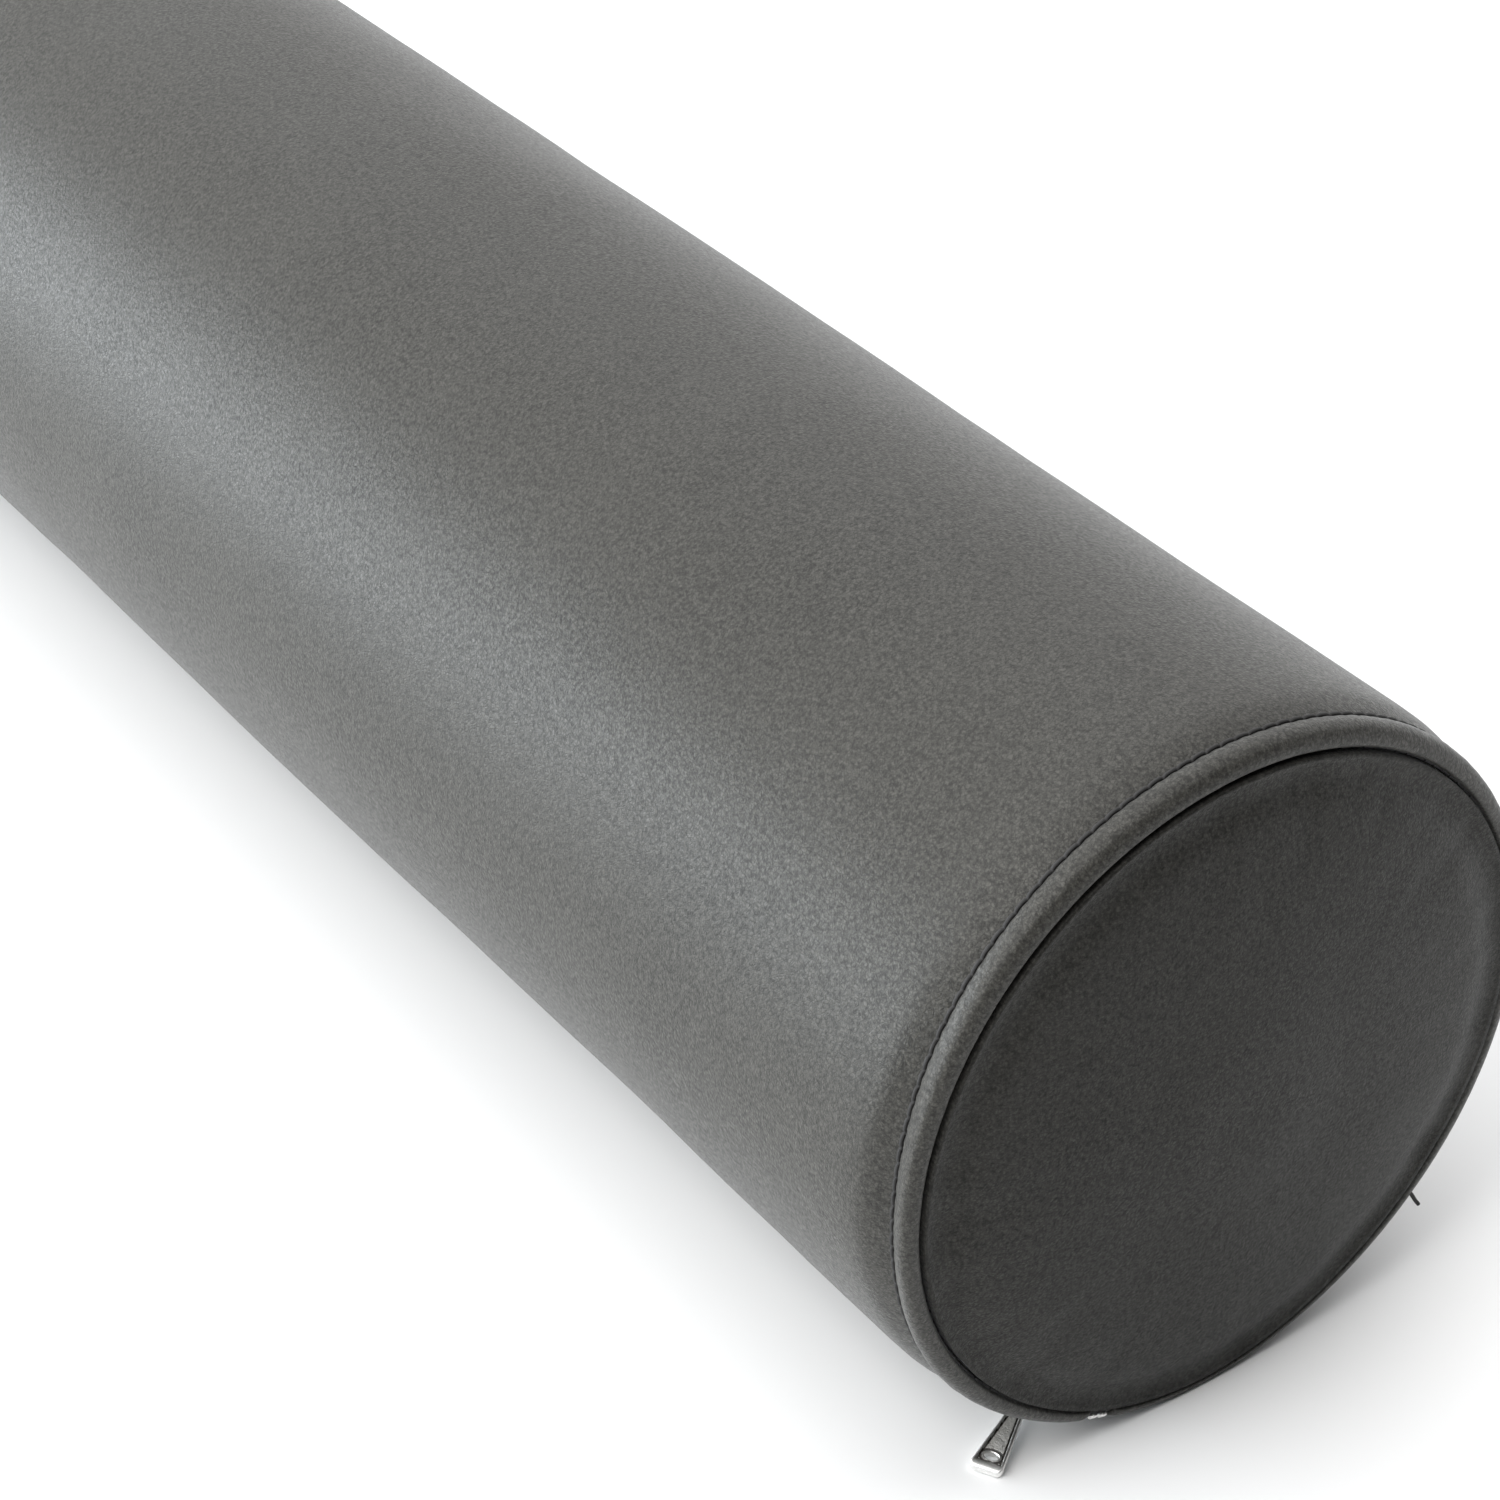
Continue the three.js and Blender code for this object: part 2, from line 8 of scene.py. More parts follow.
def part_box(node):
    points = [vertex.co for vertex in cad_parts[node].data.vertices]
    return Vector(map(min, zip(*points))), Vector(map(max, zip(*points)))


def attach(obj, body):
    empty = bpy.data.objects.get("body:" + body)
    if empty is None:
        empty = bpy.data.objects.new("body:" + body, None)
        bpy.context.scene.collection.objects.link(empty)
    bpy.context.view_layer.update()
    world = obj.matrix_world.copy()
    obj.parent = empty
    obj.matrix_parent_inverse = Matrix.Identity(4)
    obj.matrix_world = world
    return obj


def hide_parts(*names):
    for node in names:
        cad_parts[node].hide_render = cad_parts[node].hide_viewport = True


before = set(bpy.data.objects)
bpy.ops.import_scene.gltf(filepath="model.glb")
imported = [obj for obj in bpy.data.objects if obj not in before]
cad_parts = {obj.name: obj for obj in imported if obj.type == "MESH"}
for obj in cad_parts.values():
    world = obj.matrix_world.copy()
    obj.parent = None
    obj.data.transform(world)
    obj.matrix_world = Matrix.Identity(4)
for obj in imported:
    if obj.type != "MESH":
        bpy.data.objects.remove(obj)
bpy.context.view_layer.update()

mm = 0.001
scene = bpy.context.scene
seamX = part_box("cover_tube")[1].x            # the plane of the front end seam

# The bolster lies along X on the floor; its tube is pressed flat where it rests.
bolster = {
    "radius": 75 * mm,
    "flatDepth": 1 * mm,
    "leather": 1.2 * mm,
    "stitchSetback": 6.3 * mm,               # from the end seam back to the topstitch
    "stitchPitch": 3.27 * mm,
    "floorRise": 0.4,                        # the share of the rim's drop that is lost near the floor
    "floorReach": 0.62,                      # and how far round, in radians
}
radius = bolster["radius"]
axisHeight = radius - bolster["flatDepth"]
stitchCount = round(2 * math.pi * radius / bolster["stitchPitch"])
stitchStep = 2 * math.pi / stitchCount

zipPlan = {
    "angle": math.radians(20.5),             # round from the underside, towards -Y
    "lipHalfGap": 4.6 * mm,
    "rimHalfGap": 3.5 * mm,
    "seamHalfGap": 0.35 * mm,                # the closing seam behind the zip
    "rear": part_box("zip_bottom_stop")[0].x - 0.3 * mm,
    "middle": -1.8 * mm,                     # the teeth's middle, below the cover's surface
}

# The pull's pin and the way the link points, as the slider was left.
pinPoint = (308.164 * mm, -31.91 * mm, 3.057 * mm)
linkHeading = (math.cos(math.radians(60.4)), -math.sin(math.radians(60.4)))


# ---- helpers

def smoothStep(low, high, value):
    t = np.clip((value - low) / (high - low), 0, 1)
    return t * t * (3 - 2 * t)


def hills(x, y, seed):
    # Smooth random hills on a unit grid, between -1 and 1.
    table = np.random.default_rng(seed).uniform(-1, 1, (64, 64))
    x, y = np.broadcast_arrays(x, y)
    column, line = np.floor(x).astype(int), np.floor(y).astype(int)
    fx, fy = smoothStep(0, 1, x - column), smoothStep(0, 1, y - line)

    def corner(i, j):
        return table[(column + i) % 64, (line + j) % 64]

    low = corner(0, 0) * (1 - fx) + corner(1, 0) * fx
    high = corner(0, 1) * (1 - fx) + corner(1, 1) * fx
    return low * (1 - fy) + high * fy


def roundHills(theta, y, count, seed):
    # The same, closed round the tube.
    share = (theta / (2 * math.pi)) % 1
    fade = smoothStep(0.9, 1, share)
    return hills(share * count, y, seed) * (1 - fade) + hills((share - 1) * count, y, seed) * fade


def bump(value, middle, width):
    return np.exp(-((value - middle) / width) ** 2)


def splineThrough(points, counts):
    # A smooth curve through the points, with so many steps in each stretch.
    p = np.array(points, float)
    p = np.vstack([2 * p[0] - p[1], p, 2 * p[-1] - p[-2]])
    out = []
    for i, n in enumerate(counts):
        a, b, c, d = p[i:i + 4]
        t = (np.arange(n) / n)[:, None]
        out.append(0.5 * (2 * b + (c - a) * t + (2 * a - 5 * b + 4 * c - d) * t ** 2
                          + (3 * b - a - 3 * c + d) * t ** 3))
    return np.vstack(out + [p[-2:-1]])


def ringPlace(x, r, theta):
    # A point at radius r and angle theta, measured from the underside towards -Y.
    return np.stack(np.broadcast_arrays(x, -r * np.sin(theta), axisHeight - r * np.cos(theta)), -1)


def zipPlace(x, across, out):
    # A point in the zip's own frame: along X, sideways round the tube, and out of the cover.
    x, across, out = np.broadcast_arrays(x, across, out)
    theta = zipPlan["angle"]
    outward = np.array([0, -math.sin(theta), -math.cos(theta)])
    sideways = np.array([0, -math.cos(theta), math.sin(theta)])
    axis = np.array([0, 0, axisHeight])
    points = axis + (radius + out)[..., None] * outward + across[..., None] * sideways
    points[..., 0] = x
    return points


def seamRise(r, theta):
    # Near the floor the end seam runs closer to the tube's surface.
    fromFloor = (theta + math.pi) % (2 * math.pi) - math.pi
    return (radius - r) * bolster["floorRise"] * np.exp(-(fromFloor / bolster["floorReach"]) ** 2)


def rest(points, level=0.0, softness=0.25 * mm):
    # Lays the underside on a level, with a soft edge to the flat.
    z = points[..., 2] - level
    points[..., 2] = level + 0.5 * (z + np.sqrt(z * z + softness ** 2))
    return points


def meshPiece(name, vertices, faces):
    mesh = bpy.data.meshes.new(name)
    mesh.from_pydata(np.asarray(vertices).tolist(), [], faces)
    mesh.update()
    mesh.shade_smooth()
    piece = bpy.data.objects.new(name, mesh)
    scene.collection.objects.link(piece)
    return piece


def bridge(faces, first, second):
    # Faces between two rows of vertices; one row may have a whole multiple of the other's steps.
    steps = min(len(first), len(second)) - 1
    a, b = (len(first) - 1) // steps, (len(second) - 1) // steps
    for k in range(steps):
        near = list(first[k * a:(k + 1) * a + 1])
        far = list(second[k * b:(k + 1) * b + 1])
        faces.append([int(v) for v in near + far[::-1]])


def numbered(points, closed):
    # Vertex numbers of a grid of points, row by row, with the first one repeated on a closed row.
    rows, columns = points.shape[:2]
    grid = np.arange(rows * columns).reshape(rows, columns)
    return np.hstack([grid, grid[:, :1]]) if closed else grid


def gridPiece(name, points, closed=False, ends=False):
    grid = numbered(points, closed)
    faces = []
    for k in range(len(grid) - 1):
        bridge(faces, grid[k], grid[k + 1])
    if ends:
        faces.append([int(v) for v in grid[0][:-1]][::-1])
        faces.append([int(v) for v in grid[-1][:-1]])
    return meshPiece(name, points.reshape(-1, 3), faces)


def faceOut(piece):
    mesh = bmesh.new()
    mesh.from_mesh(piece.data)
    bmesh.ops.recalc_face_normals(mesh, faces=mesh.faces)
    mesh.to_mesh(piece.data)
    mesh.free()


def applyModifiers(piece):
    shown = piece.evaluated_get(bpy.context.evaluated_depsgraph_get())
    mesh = bpy.data.meshes.new_from_object(shown)
    piece.modifiers.clear()
    piece.data = mesh
    mesh.shade_smooth()


def thicken(piece, thickness):
    solid = piece.modifiers.new("thickness", "SOLIDIFY")
    solid.thickness = thickness
    solid.offset = -1
    applyModifiers(piece)


def wires(name, paths, thickness, sides=8):
    # One mesh of closed round threads or wires, each along its own path.
    vertices, faces, base = [], [], 0
    turn = np.arange(sides) * 2 * math.pi / sides
    for path in paths:
        path = np.asarray(path)
        along = np.gradient(path, axis=0)
        along /= np.linalg.norm(along, axis=1)[:, None]
        side = np.empty_like(path)
        carried = np.cross(along[0], [0.31, 0.17, 0.93])
        for k, heading in enumerate(along):  # carried along the path, so that the tube doesn't twist
            carried = carried - heading * (carried @ heading)
            carried = carried / np.linalg.norm(carried)
            side[k] = carried
        other = np.cross(along, side)
        ring = side[:, None] * np.cos(turn)[:, None] + other[:, None] * np.sin(turn)[:, None]
        vertices.append((path[:, None] + ring * thickness / 2).reshape(-1, 3))
        grid = base + np.arange(len(path) * sides).reshape(-1, sides)
        grid = np.hstack([grid, grid[:, :1]])
        for k in range(len(path) - 1):
            bridge(faces, grid[k + 1], grid[k])
        faces.append([int(v) for v in grid[0][:-1]][::-1])
        faces.append([int(v) for v in grid[-1][:-1]])
        base += len(path) * sides
    return meshPiece(name, np.vstack(vertices), faces)


def settle(piece, body, slot, material, *nodes):
    # A finished piece rides on its body and stands for its CAD nodes.
    piece.data.materials.clear()
    piece.data.materials.append(material)
    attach(piece, body)
    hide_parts(*nodes)
    return piece


def simulate(points, pinned, closed, growth, pressure, frames=20):
    # Lets a sheet of cloth swell between its pinned edges, and gives back where its points went.
    sheet = gridPiece("swelling", points, closed=closed)
    group = sheet.vertex_groups.new(name="pinned")
    group.add([int(v) for v in np.flatnonzero(pinned.reshape(-1))], 1.0, "REPLACE")
    cloth = sheet.modifiers.new("cloth", "CLOTH")
    settings = cloth.settings
    settings.quality = 8
    settings.mass = 0.4
    settings.tension_stiffness = settings.compression_stiffness = 25
    settings.shear_stiffness = 12
    settings.bending_stiffness = 3
    settings.vertex_group_mass = "pinned"
    settings.use_pressure = True
    settings.uniform_pressure_force = pressure
    settings.shrink_min = -growth
    settings.effector_weights.gravity = 0
    for frameNumber in range(1, frames + 1):
        scene.frame_set(frameNumber)
    shown = sheet.evaluated_get(bpy.context.evaluated_depsgraph_get())
    moved = np.empty(len(shown.data.vertices) * 3)
    shown.data.vertices.foreach_get("co", moved)
    bpy.data.objects.remove(sheet)
    scene.frame_set(1)
    return moved.reshape(points.shape)


def sampleGrid(grid, u, v, closed=True):
    # Reads a grid of values between its points; v is round, u along.
    rows, columns = grid.shape
    u = np.clip(u, 0, rows - 1.0001)
    i, fu = np.floor(u).astype(int), u - np.floor(u)
    j, fv = np.floor(v).astype(int), v - np.floor(v)
    fu, fv = smoothStep(0, 1, fu) * 0.5 + fu * 0.5, smoothStep(0, 1, fv) * 0.5 + fv * 0.5
    k = (j + 1) % columns if closed else np.minimum(j + 1, columns - 1)
    j = j % columns if closed else np.minimum(j, columns - 1)
    low = grid[i, j] * (1 - fv) + grid[i, k] * fv
    high = grid[i + 1, j] * (1 - fv) + grid[i + 1, k] * fv
    return low * (1 - fu) + high * fu


# ---- materials

def newGroup(name, inputs, outputs):
    group = bpy.data.node_groups.new(name, "ShaderNodeTree")
    for socketName, kind, value in inputs:
        socket = group.interface.new_socket(socketName, in_out="INPUT", socket_type=kind)
        if value is not None:
            socket.default_value = value
    for socketName, kind in outputs:
        group.interface.new_socket(socketName, in_out="OUTPUT", socket_type=kind)
    return group, group.nodes.new("NodeGroupInput"), group.nodes.new("NodeGroupOutput")


def addNode(tree, kind, inputs=None, **settings):
    node = tree.nodes.new(kind)
    for key, value in settings.items():
        setattr(node, key, value)
    for key, value in (inputs or {}).items():
        if isinstance(value, bpy.types.NodeSocket):
            tree.links.new(value, node.inputs[key])
        else:
            node.inputs[key].default_value = value
    return node


def maths(tree, operation, a, b=0.0, c=0.0):
    return addNode(tree, "ShaderNodeMath", {0: a, 1: b, 2: c}, operation=operation).outputs[0]


def leatherGroup():
    # Fine grain of coated leather: rounded cells between fine creases, over a soft mottle.
    tree, start, end = newGroup(
        "leatherGrain",
        [("Cells", "NodeSocketFloat", 900.0), ("Mottle", "NodeSocketFloat", 160.0)],
        [("Height", "NodeSocketFloat"), ("Creases", "NodeSocketFloat"), ("Mottle", "NodeSocketFloat")],
    )
    place = addNode(tree, "ShaderNodeTexCoord").outputs["Object"]
    warp = addNode(tree, "ShaderNodeTexNoise", {"Vector": place, "Scale": 500.0, "Detail": 2.0})
    bent = addNode(
        tree, "ShaderNodeMixRGB",
        {0: 0.0012, 1: place, 2: warp.outputs["Color"]},
        blend_type="ADD",
    )
    cells = addNode(
        tree, "ShaderNodeTexVoronoi",
        {"Vector": bent.outputs[0], "Scale": start.outputs["Cells"]},
        feature="DISTANCE_TO_EDGE",
    )
    creases = ranged(tree, cells.outputs["Distance"], 0.0, 0.22, 1.0, 0.0)
    fine = addNode(
        tree, "ShaderNodeTexNoise",
        {"Vector": place, "Scale": 1500.0, "Detail": 3.0, "Roughness": 0.7},
    )
    mottle = addNode(
        tree, "ShaderNodeTexNoise",
        {"Vector": place, "Scale": start.outputs["Mottle"], "Detail": 4.0, "Roughness": 0.75},
    )
    height = maths(tree, "MULTIPLY_ADD", creases, -0.6, fine.outputs[0])
    tree.links.new(height, end.inputs["Height"])
    tree.links.new(creases, end.inputs["Creases"])
    tree.links.new(mottle.outputs[0], end.inputs["Mottle"])
    return tree


def weaveGroup():
    # Plain weave of fine yarns, the same all over.
    tree, start, end = newGroup(
        "weave",
        [("Yarns", "NodeSocketFloat", 1500.0)],
        [("Height", "NodeSocketFloat"), ("Tone", "NodeSocketFloat")],
    )
    place = addNode(tree, "ShaderNodeTexCoord").outputs["Object"]
    split = addNode(tree, "ShaderNodeSeparateXYZ", {0: place})
    along = maths(tree, "MULTIPLY", split.outputs[0], start.outputs["Yarns"])
    across = maths(tree, "MULTIPLY", split.outputs[1], start.outputs["Yarns"])
    warp = maths(tree, "SINE", along)
    weft = maths(tree, "SINE", across)
    weave = maths(tree, "MULTIPLY", warp, weft)
    noise = addNode(tree, "ShaderNodeTexNoise", {"Vector": place, "Scale": 900.0, "Detail": 3.0})
    tree.links.new(maths(tree, "MULTIPLY_ADD", noise.outputs[0], 0.5, weave), end.inputs["Height"])
    tree.links.new(noise.outputs[0], end.inputs["Tone"])
    return tree


def startMaterial(name):
    material = bpy.data.materials.new(name)
    material.use_nodes = True
    tree = material.node_tree
    shader = tree.nodes["Principled BSDF"]
    return material, tree, shader


def useGroup(tree, group, **values):
    node = addNode(tree, "ShaderNodeGroup", node_tree=group)
    for key, value in values.items():
        node.inputs[key].default_value = value
    return node


def blendColours(tree, amount, a, b):
    node = addNode(tree, "ShaderNodeMix", data_type="RGBA")
    tree.links.new(amount, node.inputs[0])
    for index, value in ((6, a), (7, b)):
        if isinstance(value, bpy.types.NodeSocket):
            tree.links.new(value, node.inputs[index])
        else:
            node.inputs[index].default_value = (*value, 1)
    return node.outputs[2]


def ranged(tree, value, fromMin, fromMax, toMin, toMax):
    return addNode(
        tree, "ShaderNodeMapRange",
        {"Value": value, "From Min": fromMin, "From Max": fromMax, "To Min": toMin, "To Max": toMax},
    ).outputs[0]


def addBump(tree, shader, height, strength, distance):
    bump = addNode(tree, "ShaderNodeBump", {"Strength": strength, "Distance": distance, "Height": height})
    tree.links.new(bump.outputs[0], shader.inputs["Normal"])
    return bump


leatherLook = {
    "dark": (0.0145, 0.0139, 0.0121),
    "light": (0.070, 0.0676, 0.0604),
    "roughness": (0.50, 0.34),
    "sheen": 0.1,
    "specular": 0.22,
    "grainDepth": 0.09 * mm,
}


def leatherMaterial(name, depth=1.0, gloss=1.0):
    material, tree, shader = startMaterial(name)
    grain = useGroup(tree, grainGroup, Cells=1250.0, Mottle=1150.0)
    # A depth below 1 darkens both tones; the end panels use this as painted shade.
    dark, light = (tuple(depth * c for c in leatherLook[tone]) for tone in ("dark", "light"))
    wide = addNode(
        tree, "ShaderNodeTexNoise",
        {"Vector": addNode(tree, "ShaderNodeTexCoord").outputs["Object"], "Scale": 22.0, "Detail": 3.0},
    ).outputs[0]
    tone = ranged(tree, grain.outputs["Mottle"], 0.38, 0.62, 0.0, 1.0)
    colour = blendColours(tree, tone, dark, light)
    worn = ranged(tree, wide, 0.3, 0.75, 0.0, 0.25)
    colour = blendColours(tree, worn, colour, light)
    inCrease = ranged(tree, grain.outputs["Creases"], 0.0, 1.0, 0.0, 0.5)
    colour = blendColours(tree, inCrease, colour, dark)
    tree.links.new(colour, shader.inputs["Base Color"])
    rough = ranged(tree, grain.outputs["Mottle"], 0.36, 0.64, *leatherLook["roughness"])
    tree.links.new(rough, shader.inputs["Roughness"])
    shader.inputs["Sheen Weight"].default_value = leatherLook["sheen"]
    shader.inputs["Sheen Roughness"].default_value = 0.45
    shader.inputs["Specular IOR Level"].default_value = leatherLook["specular"] * gloss
    shader.inputs["Sheen Tint"].default_value = (0.9, 0.93, 0.95, 1)
    addBump(tree, shader, grain.outputs["Height"], 0.6, leatherLook["grainDepth"])
    return material


# Materials whose colour, roughness and relief follow one pattern: a noise, foam cells or a weave.
patterns = {
    "sewingThread": {
        "scale": 5200.0, "detail": 2.0, "dark": (0.006, 0.006, 0.007), "light": (0.03, 0.029, 0.028),
        "span": (0.2, 0.8), "rough": (0.6, 0.85), "relief": (0.6, 0.05 * mm),
    },
    "zipTape": {
        "yarns": 9000.0, "dark": (0.008, 0.008, 0.009), "light": (0.024, 0.024, 0.025),
        "span": (0.2, 0.8), "rough": (0.75, 0.95), "relief": (0.5, 0.1 * mm), "sheen": 0.2,
    },
    "zipCoil": {
        "scale": 700.0, "detail": 2.0, "dark": (0.010, 0.010, 0.011), "light": (0.022, 0.022, 0.024),
        "span": (0.2, 0.8), "rough": (0.3, 0.45), "relief": (0.1, 0.05 * mm),
    },
    "pullGrooveBlack": {                       # near-black, in the pull's engraved grooves
        "scale": 1500.0, "detail": 3.0, "dark": (0.008, 0.007, 0.006), "light": (0.05, 0.045, 0.04),
        "span": (0.3, 0.7), "rough": (0.4, 0.7), "relief": (0.4, 0.05 * mm),
    },
    "linerCloth": {
        "yarns": 5200.0, "dark": (0.68, 0.66, 0.61), "light": (0.84, 0.82, 0.78),
        "span": (0.2, 0.8), "rough": (0.85, 1.0), "relief": (0.4, 0.1 * mm),
    },
    "openCellFoam": {
        "cells": 900.0, "dark": (0.62, 0.55, 0.36), "light": (0.88, 0.82, 0.62),
        "span": (0.0, 1.0), "rough": (0.85, 1.0), "relief": (0.7, 0.4 * mm),
    },
}


def patternMaterial(name):
    look = patterns[name]
    material, tree, shader = startMaterial(name)
    if "yarns" in look:
        weave = useGroup(tree, clothGroup, Yarns=look["yarns"])
        tone, height = weave.outputs["Tone"], weave.outputs["Height"]
    else:
        inputs = {"Vector": addNode(tree, "ShaderNodeTexCoord").outputs["Object"]}
        if "cells" in look:
            pattern = addNode(tree, "ShaderNodeTexVoronoi", {**inputs, "Scale": look["cells"]})
        else:
            inputs.update({"Scale": look["scale"], "Detail": look["detail"]})
            pattern = addNode(tree, "ShaderNodeTexNoise", inputs)
        tone = height = pattern.outputs[0]
    tree.links.new(blendColours(tree, tone, look["dark"], look["light"]), shader.inputs["Base Color"])
    tree.links.new(ranged(tree, tone, *look["span"], *look["rough"]), shader.inputs["Roughness"])
    shader.inputs["Sheen Weight"].default_value = look.get("sheen", 0.0)
    addBump(tree, shader, height, *look["relief"])
    return material


nickelTones = {
    "plain": ((0.8, 0.79, 0.77), (0.93, 0.93, 0.92)),
    "stippled": ((0.5, 0.49, 0.46), (0.86, 0.85, 0.83)),
}
nickelRoughness = {"plain": (0.33, 0.43), "stippled": (0.5, 0.75)}
nickelGrit = {"plain": (0.05, 0.02 * mm), "stippled": (0.9, 0.16 * mm)}      # strength and depth


def nickelMaterial(name, textured=False):
    material, tree, shader = startMaterial(name)
    place = addNode(tree, "ShaderNodeTexCoord").outputs["Object"]
    cloud = addNode(tree, "ShaderNodeTexNoise", {"Vector": place, "Scale": 420.0, "Detail": 4.0})
    grit = addNode(tree, "ShaderNodeTexNoise", {"Vector": place, "Scale": 2600.0, "Detail": 3.0})
    finish = "stippled" if textured else "plain"
    dark, light = nickelTones[finish]
    colour = blendColours(tree, grit.outputs[0] if textured else cloud.outputs[0], dark, light)
    tree.links.new(colour, shader.inputs["Base Color"])
    shader.inputs["Metallic"].default_value = 1
    rough = ranged(tree, cloud.outputs[0], 0.3, 0.7, *nickelRoughness[finish])
    tree.links.new(rough, shader.inputs["Roughness"])
    addBump(tree, shader, grit.outputs[0], *nickelGrit[finish])
    return material


def floorMaterial():
    material, tree, shader = startMaterial("paleFloor")
    place = addNode(tree, "ShaderNodeTexCoord").outputs["Object"]
    cloud = addNode(tree, "ShaderNodeTexNoise", {"Vector": place, "Scale": 3.0, "Detail": 3.0})
    colour = blendColours(tree, cloud.outputs[0], (0.86, 0.865, 0.87), (0.89, 0.89, 0.89))
    tree.links.new(colour, shader.inputs["Base Color"])
    shader.inputs["Roughness"].default_value = 0.75
    return material


grainGroup = leatherGroup()
clothGroup = weaveGroup()
leather = leatherMaterial("coverLeather")
# The end panels get the cover's leather with both tones darkened to 0.66 and less gloss: painted shade for
# the end that faces away from the light.
panelLeatherPaintedShade = leatherMaterial("panelLeatherPaintedShade", 0.66, 0.42)
thread = patternMaterial("sewingThread")
tape = patternMaterial("zipTape")
coilNylon = patternMaterial("zipCoil")
nickel = nickelMaterial("nickelPlate")
nickelStippled = nickelMaterial("nickelStippled", textured=True)
# The pull's engraved grooves are coloured near-black.
grooveBlack = patternMaterial("pullGrooveBlack")
linerCloth = patternMaterial("linerCloth")
foam = patternMaterial("openCellFoam")
print("materials made")


# ---- cover tube: the rolled rims, the topstitch valleys and the tube between them

tube = {
    "fineSteps": 1152,                       # round the rims, eight to a stitch
    "wideSteps": 288,                        # round the rest
    "insideSteps": 96,
    "middleRows": 52,
    "insideStride": 3,
    "slack": 0.25 * mm,                      # soft waves along the tube
    "rimPuff": 0.16 * mm,
    "stitchPull": 0.13 * mm,
    "allPinch": 0.5 * mm,                    # how much the topstitch draws the tube in all round
    "flankPinch": 2.1 * mm,                  # and how much more on the flanks
    "pinchReach": 4.2 * mm,
    "gather": 0.07 * mm,
    "backPuff": 0.16 * mm,                   # unevenness behind the topstitch
    "lipRoll": 0.55 * mm,
    "lipReach": 0.7 * mm,
    "endLength": 18 * mm,                    # the shaped stretch at each end
    "creaseDepth": 0.22 * mm,                # low creases where the flanks leave the floor
    "flankAngle": 92,                        # degrees from the underside
    "flankWidth": 30,
}

# From the end seam out over the rolled rim, down into the topstitch valley and up onto the tube,
# as millimetres from the seam's plane and from the tube's radius.
rimProfile = [
    (-3.6, -5.2), (-2.1, -5.2), (-1.1, -5.15), (-0.4, -4.85), (-0.15, -4.2), (-0.4, -2.9), (-1.3, -1.55),
    (-2.8, -0.75), (-4.3, -0.6), (-5.4, -0.85), (-6.2, -1.45), (-6.9, -1.25), (-8.2, -0.8), (-10.6, -0.34),
    (-13.5, -0.1), (-18.0, 0.0),
]
rimSteps = [1, 2, 3, 2, 3, 3, 3, 3, 3, 3, 3, 2, 2, 2, 1]


def tubeProfile():
    end = splineThrough(rimProfile, rimSteps) * mm
    front = np.stack([seamX + end[:, 0], radius + end[:, 1]], -1)[::-1]
    middleX = np.linspace(-front[0, 0], front[0, 0], tube["middleRows"])[1:-1]
    middle = np.stack([middleX, np.full(len(middleX), radius)], -1)
    profile = np.vstack([front[::-1] * [-1, 1], middle, front])
    fine = np.ones(len(profile), bool)
    fine[len(end):len(end) + len(middle)] = False
    return profile, fine


def lipHalfGap(x):
    # Half the slot between the cover's edges: wide at the zip, narrower at the rim, shut behind it.
    wide = zipPlan["lipHalfGap"]
    front = smoothStep(seamX - 8.4 * mm, seamX - 6.4 * mm, x) * (zipPlan["rimHalfGap"] - wide)
    rear = smoothStep(zipPlan["rear"] - 5 * mm, zipPlan["rear"] + 2 * mm, x)
    return zipPlan["seamHalfGap"] + (wide + front - zipPlan["seamHalfGap"]) * rear


def crowded(share, amount=0.8, reach=0.012):
    # Steps from one lip to the other, closer together by the lips.
    start = amount * reach * (1 - np.exp(-share / reach))
    finish = amount * reach * (np.exp(-(1 - share) / reach) - math.exp(-1 / reach))
    return (share - start - finish) / (1 - 2 * amount * reach)


def tubeSlack():
    # The tube's cover swells a little round the core, which leaves it softly slack.
    theta = np.linspace(0, 2 * math.pi, 96, endpoint=False)[None, :]
    plain = seamX - tube["endLength"]
    x = np.linspace(-plain, plain, 72)[:, None]
    start = ringPlace(x, radius + 0.1 * mm * roundHills(theta, x * 40, 24, 31), theta)
    pinned = np.zeros(start.shape[:2], bool)
    pinned[0] = pinned[-1] = True
    moved = simulate(start, pinned, True, 0.012, 0.4)
    r = np.hypot(moved[..., 1], moved[..., 2] - axisHeight) - radius
    r -= r.mean()
    return np.clip(r * 0.1 * mm / max(r.std(), 0.01 * mm), -0.25 * mm, 0.25 * mm)


def stitchPinch(theta):
    # How much the topstitch draws the tube in.
    degrees = np.degrees(theta) % 360
    near, width = tube["flankAngle"], tube["flankWidth"]
    onFlanks = bump(degrees, near, width) + bump(degrees, 360 - near, width)
    return tube["allPinch"] + tube["flankPinch"] * onFlanks


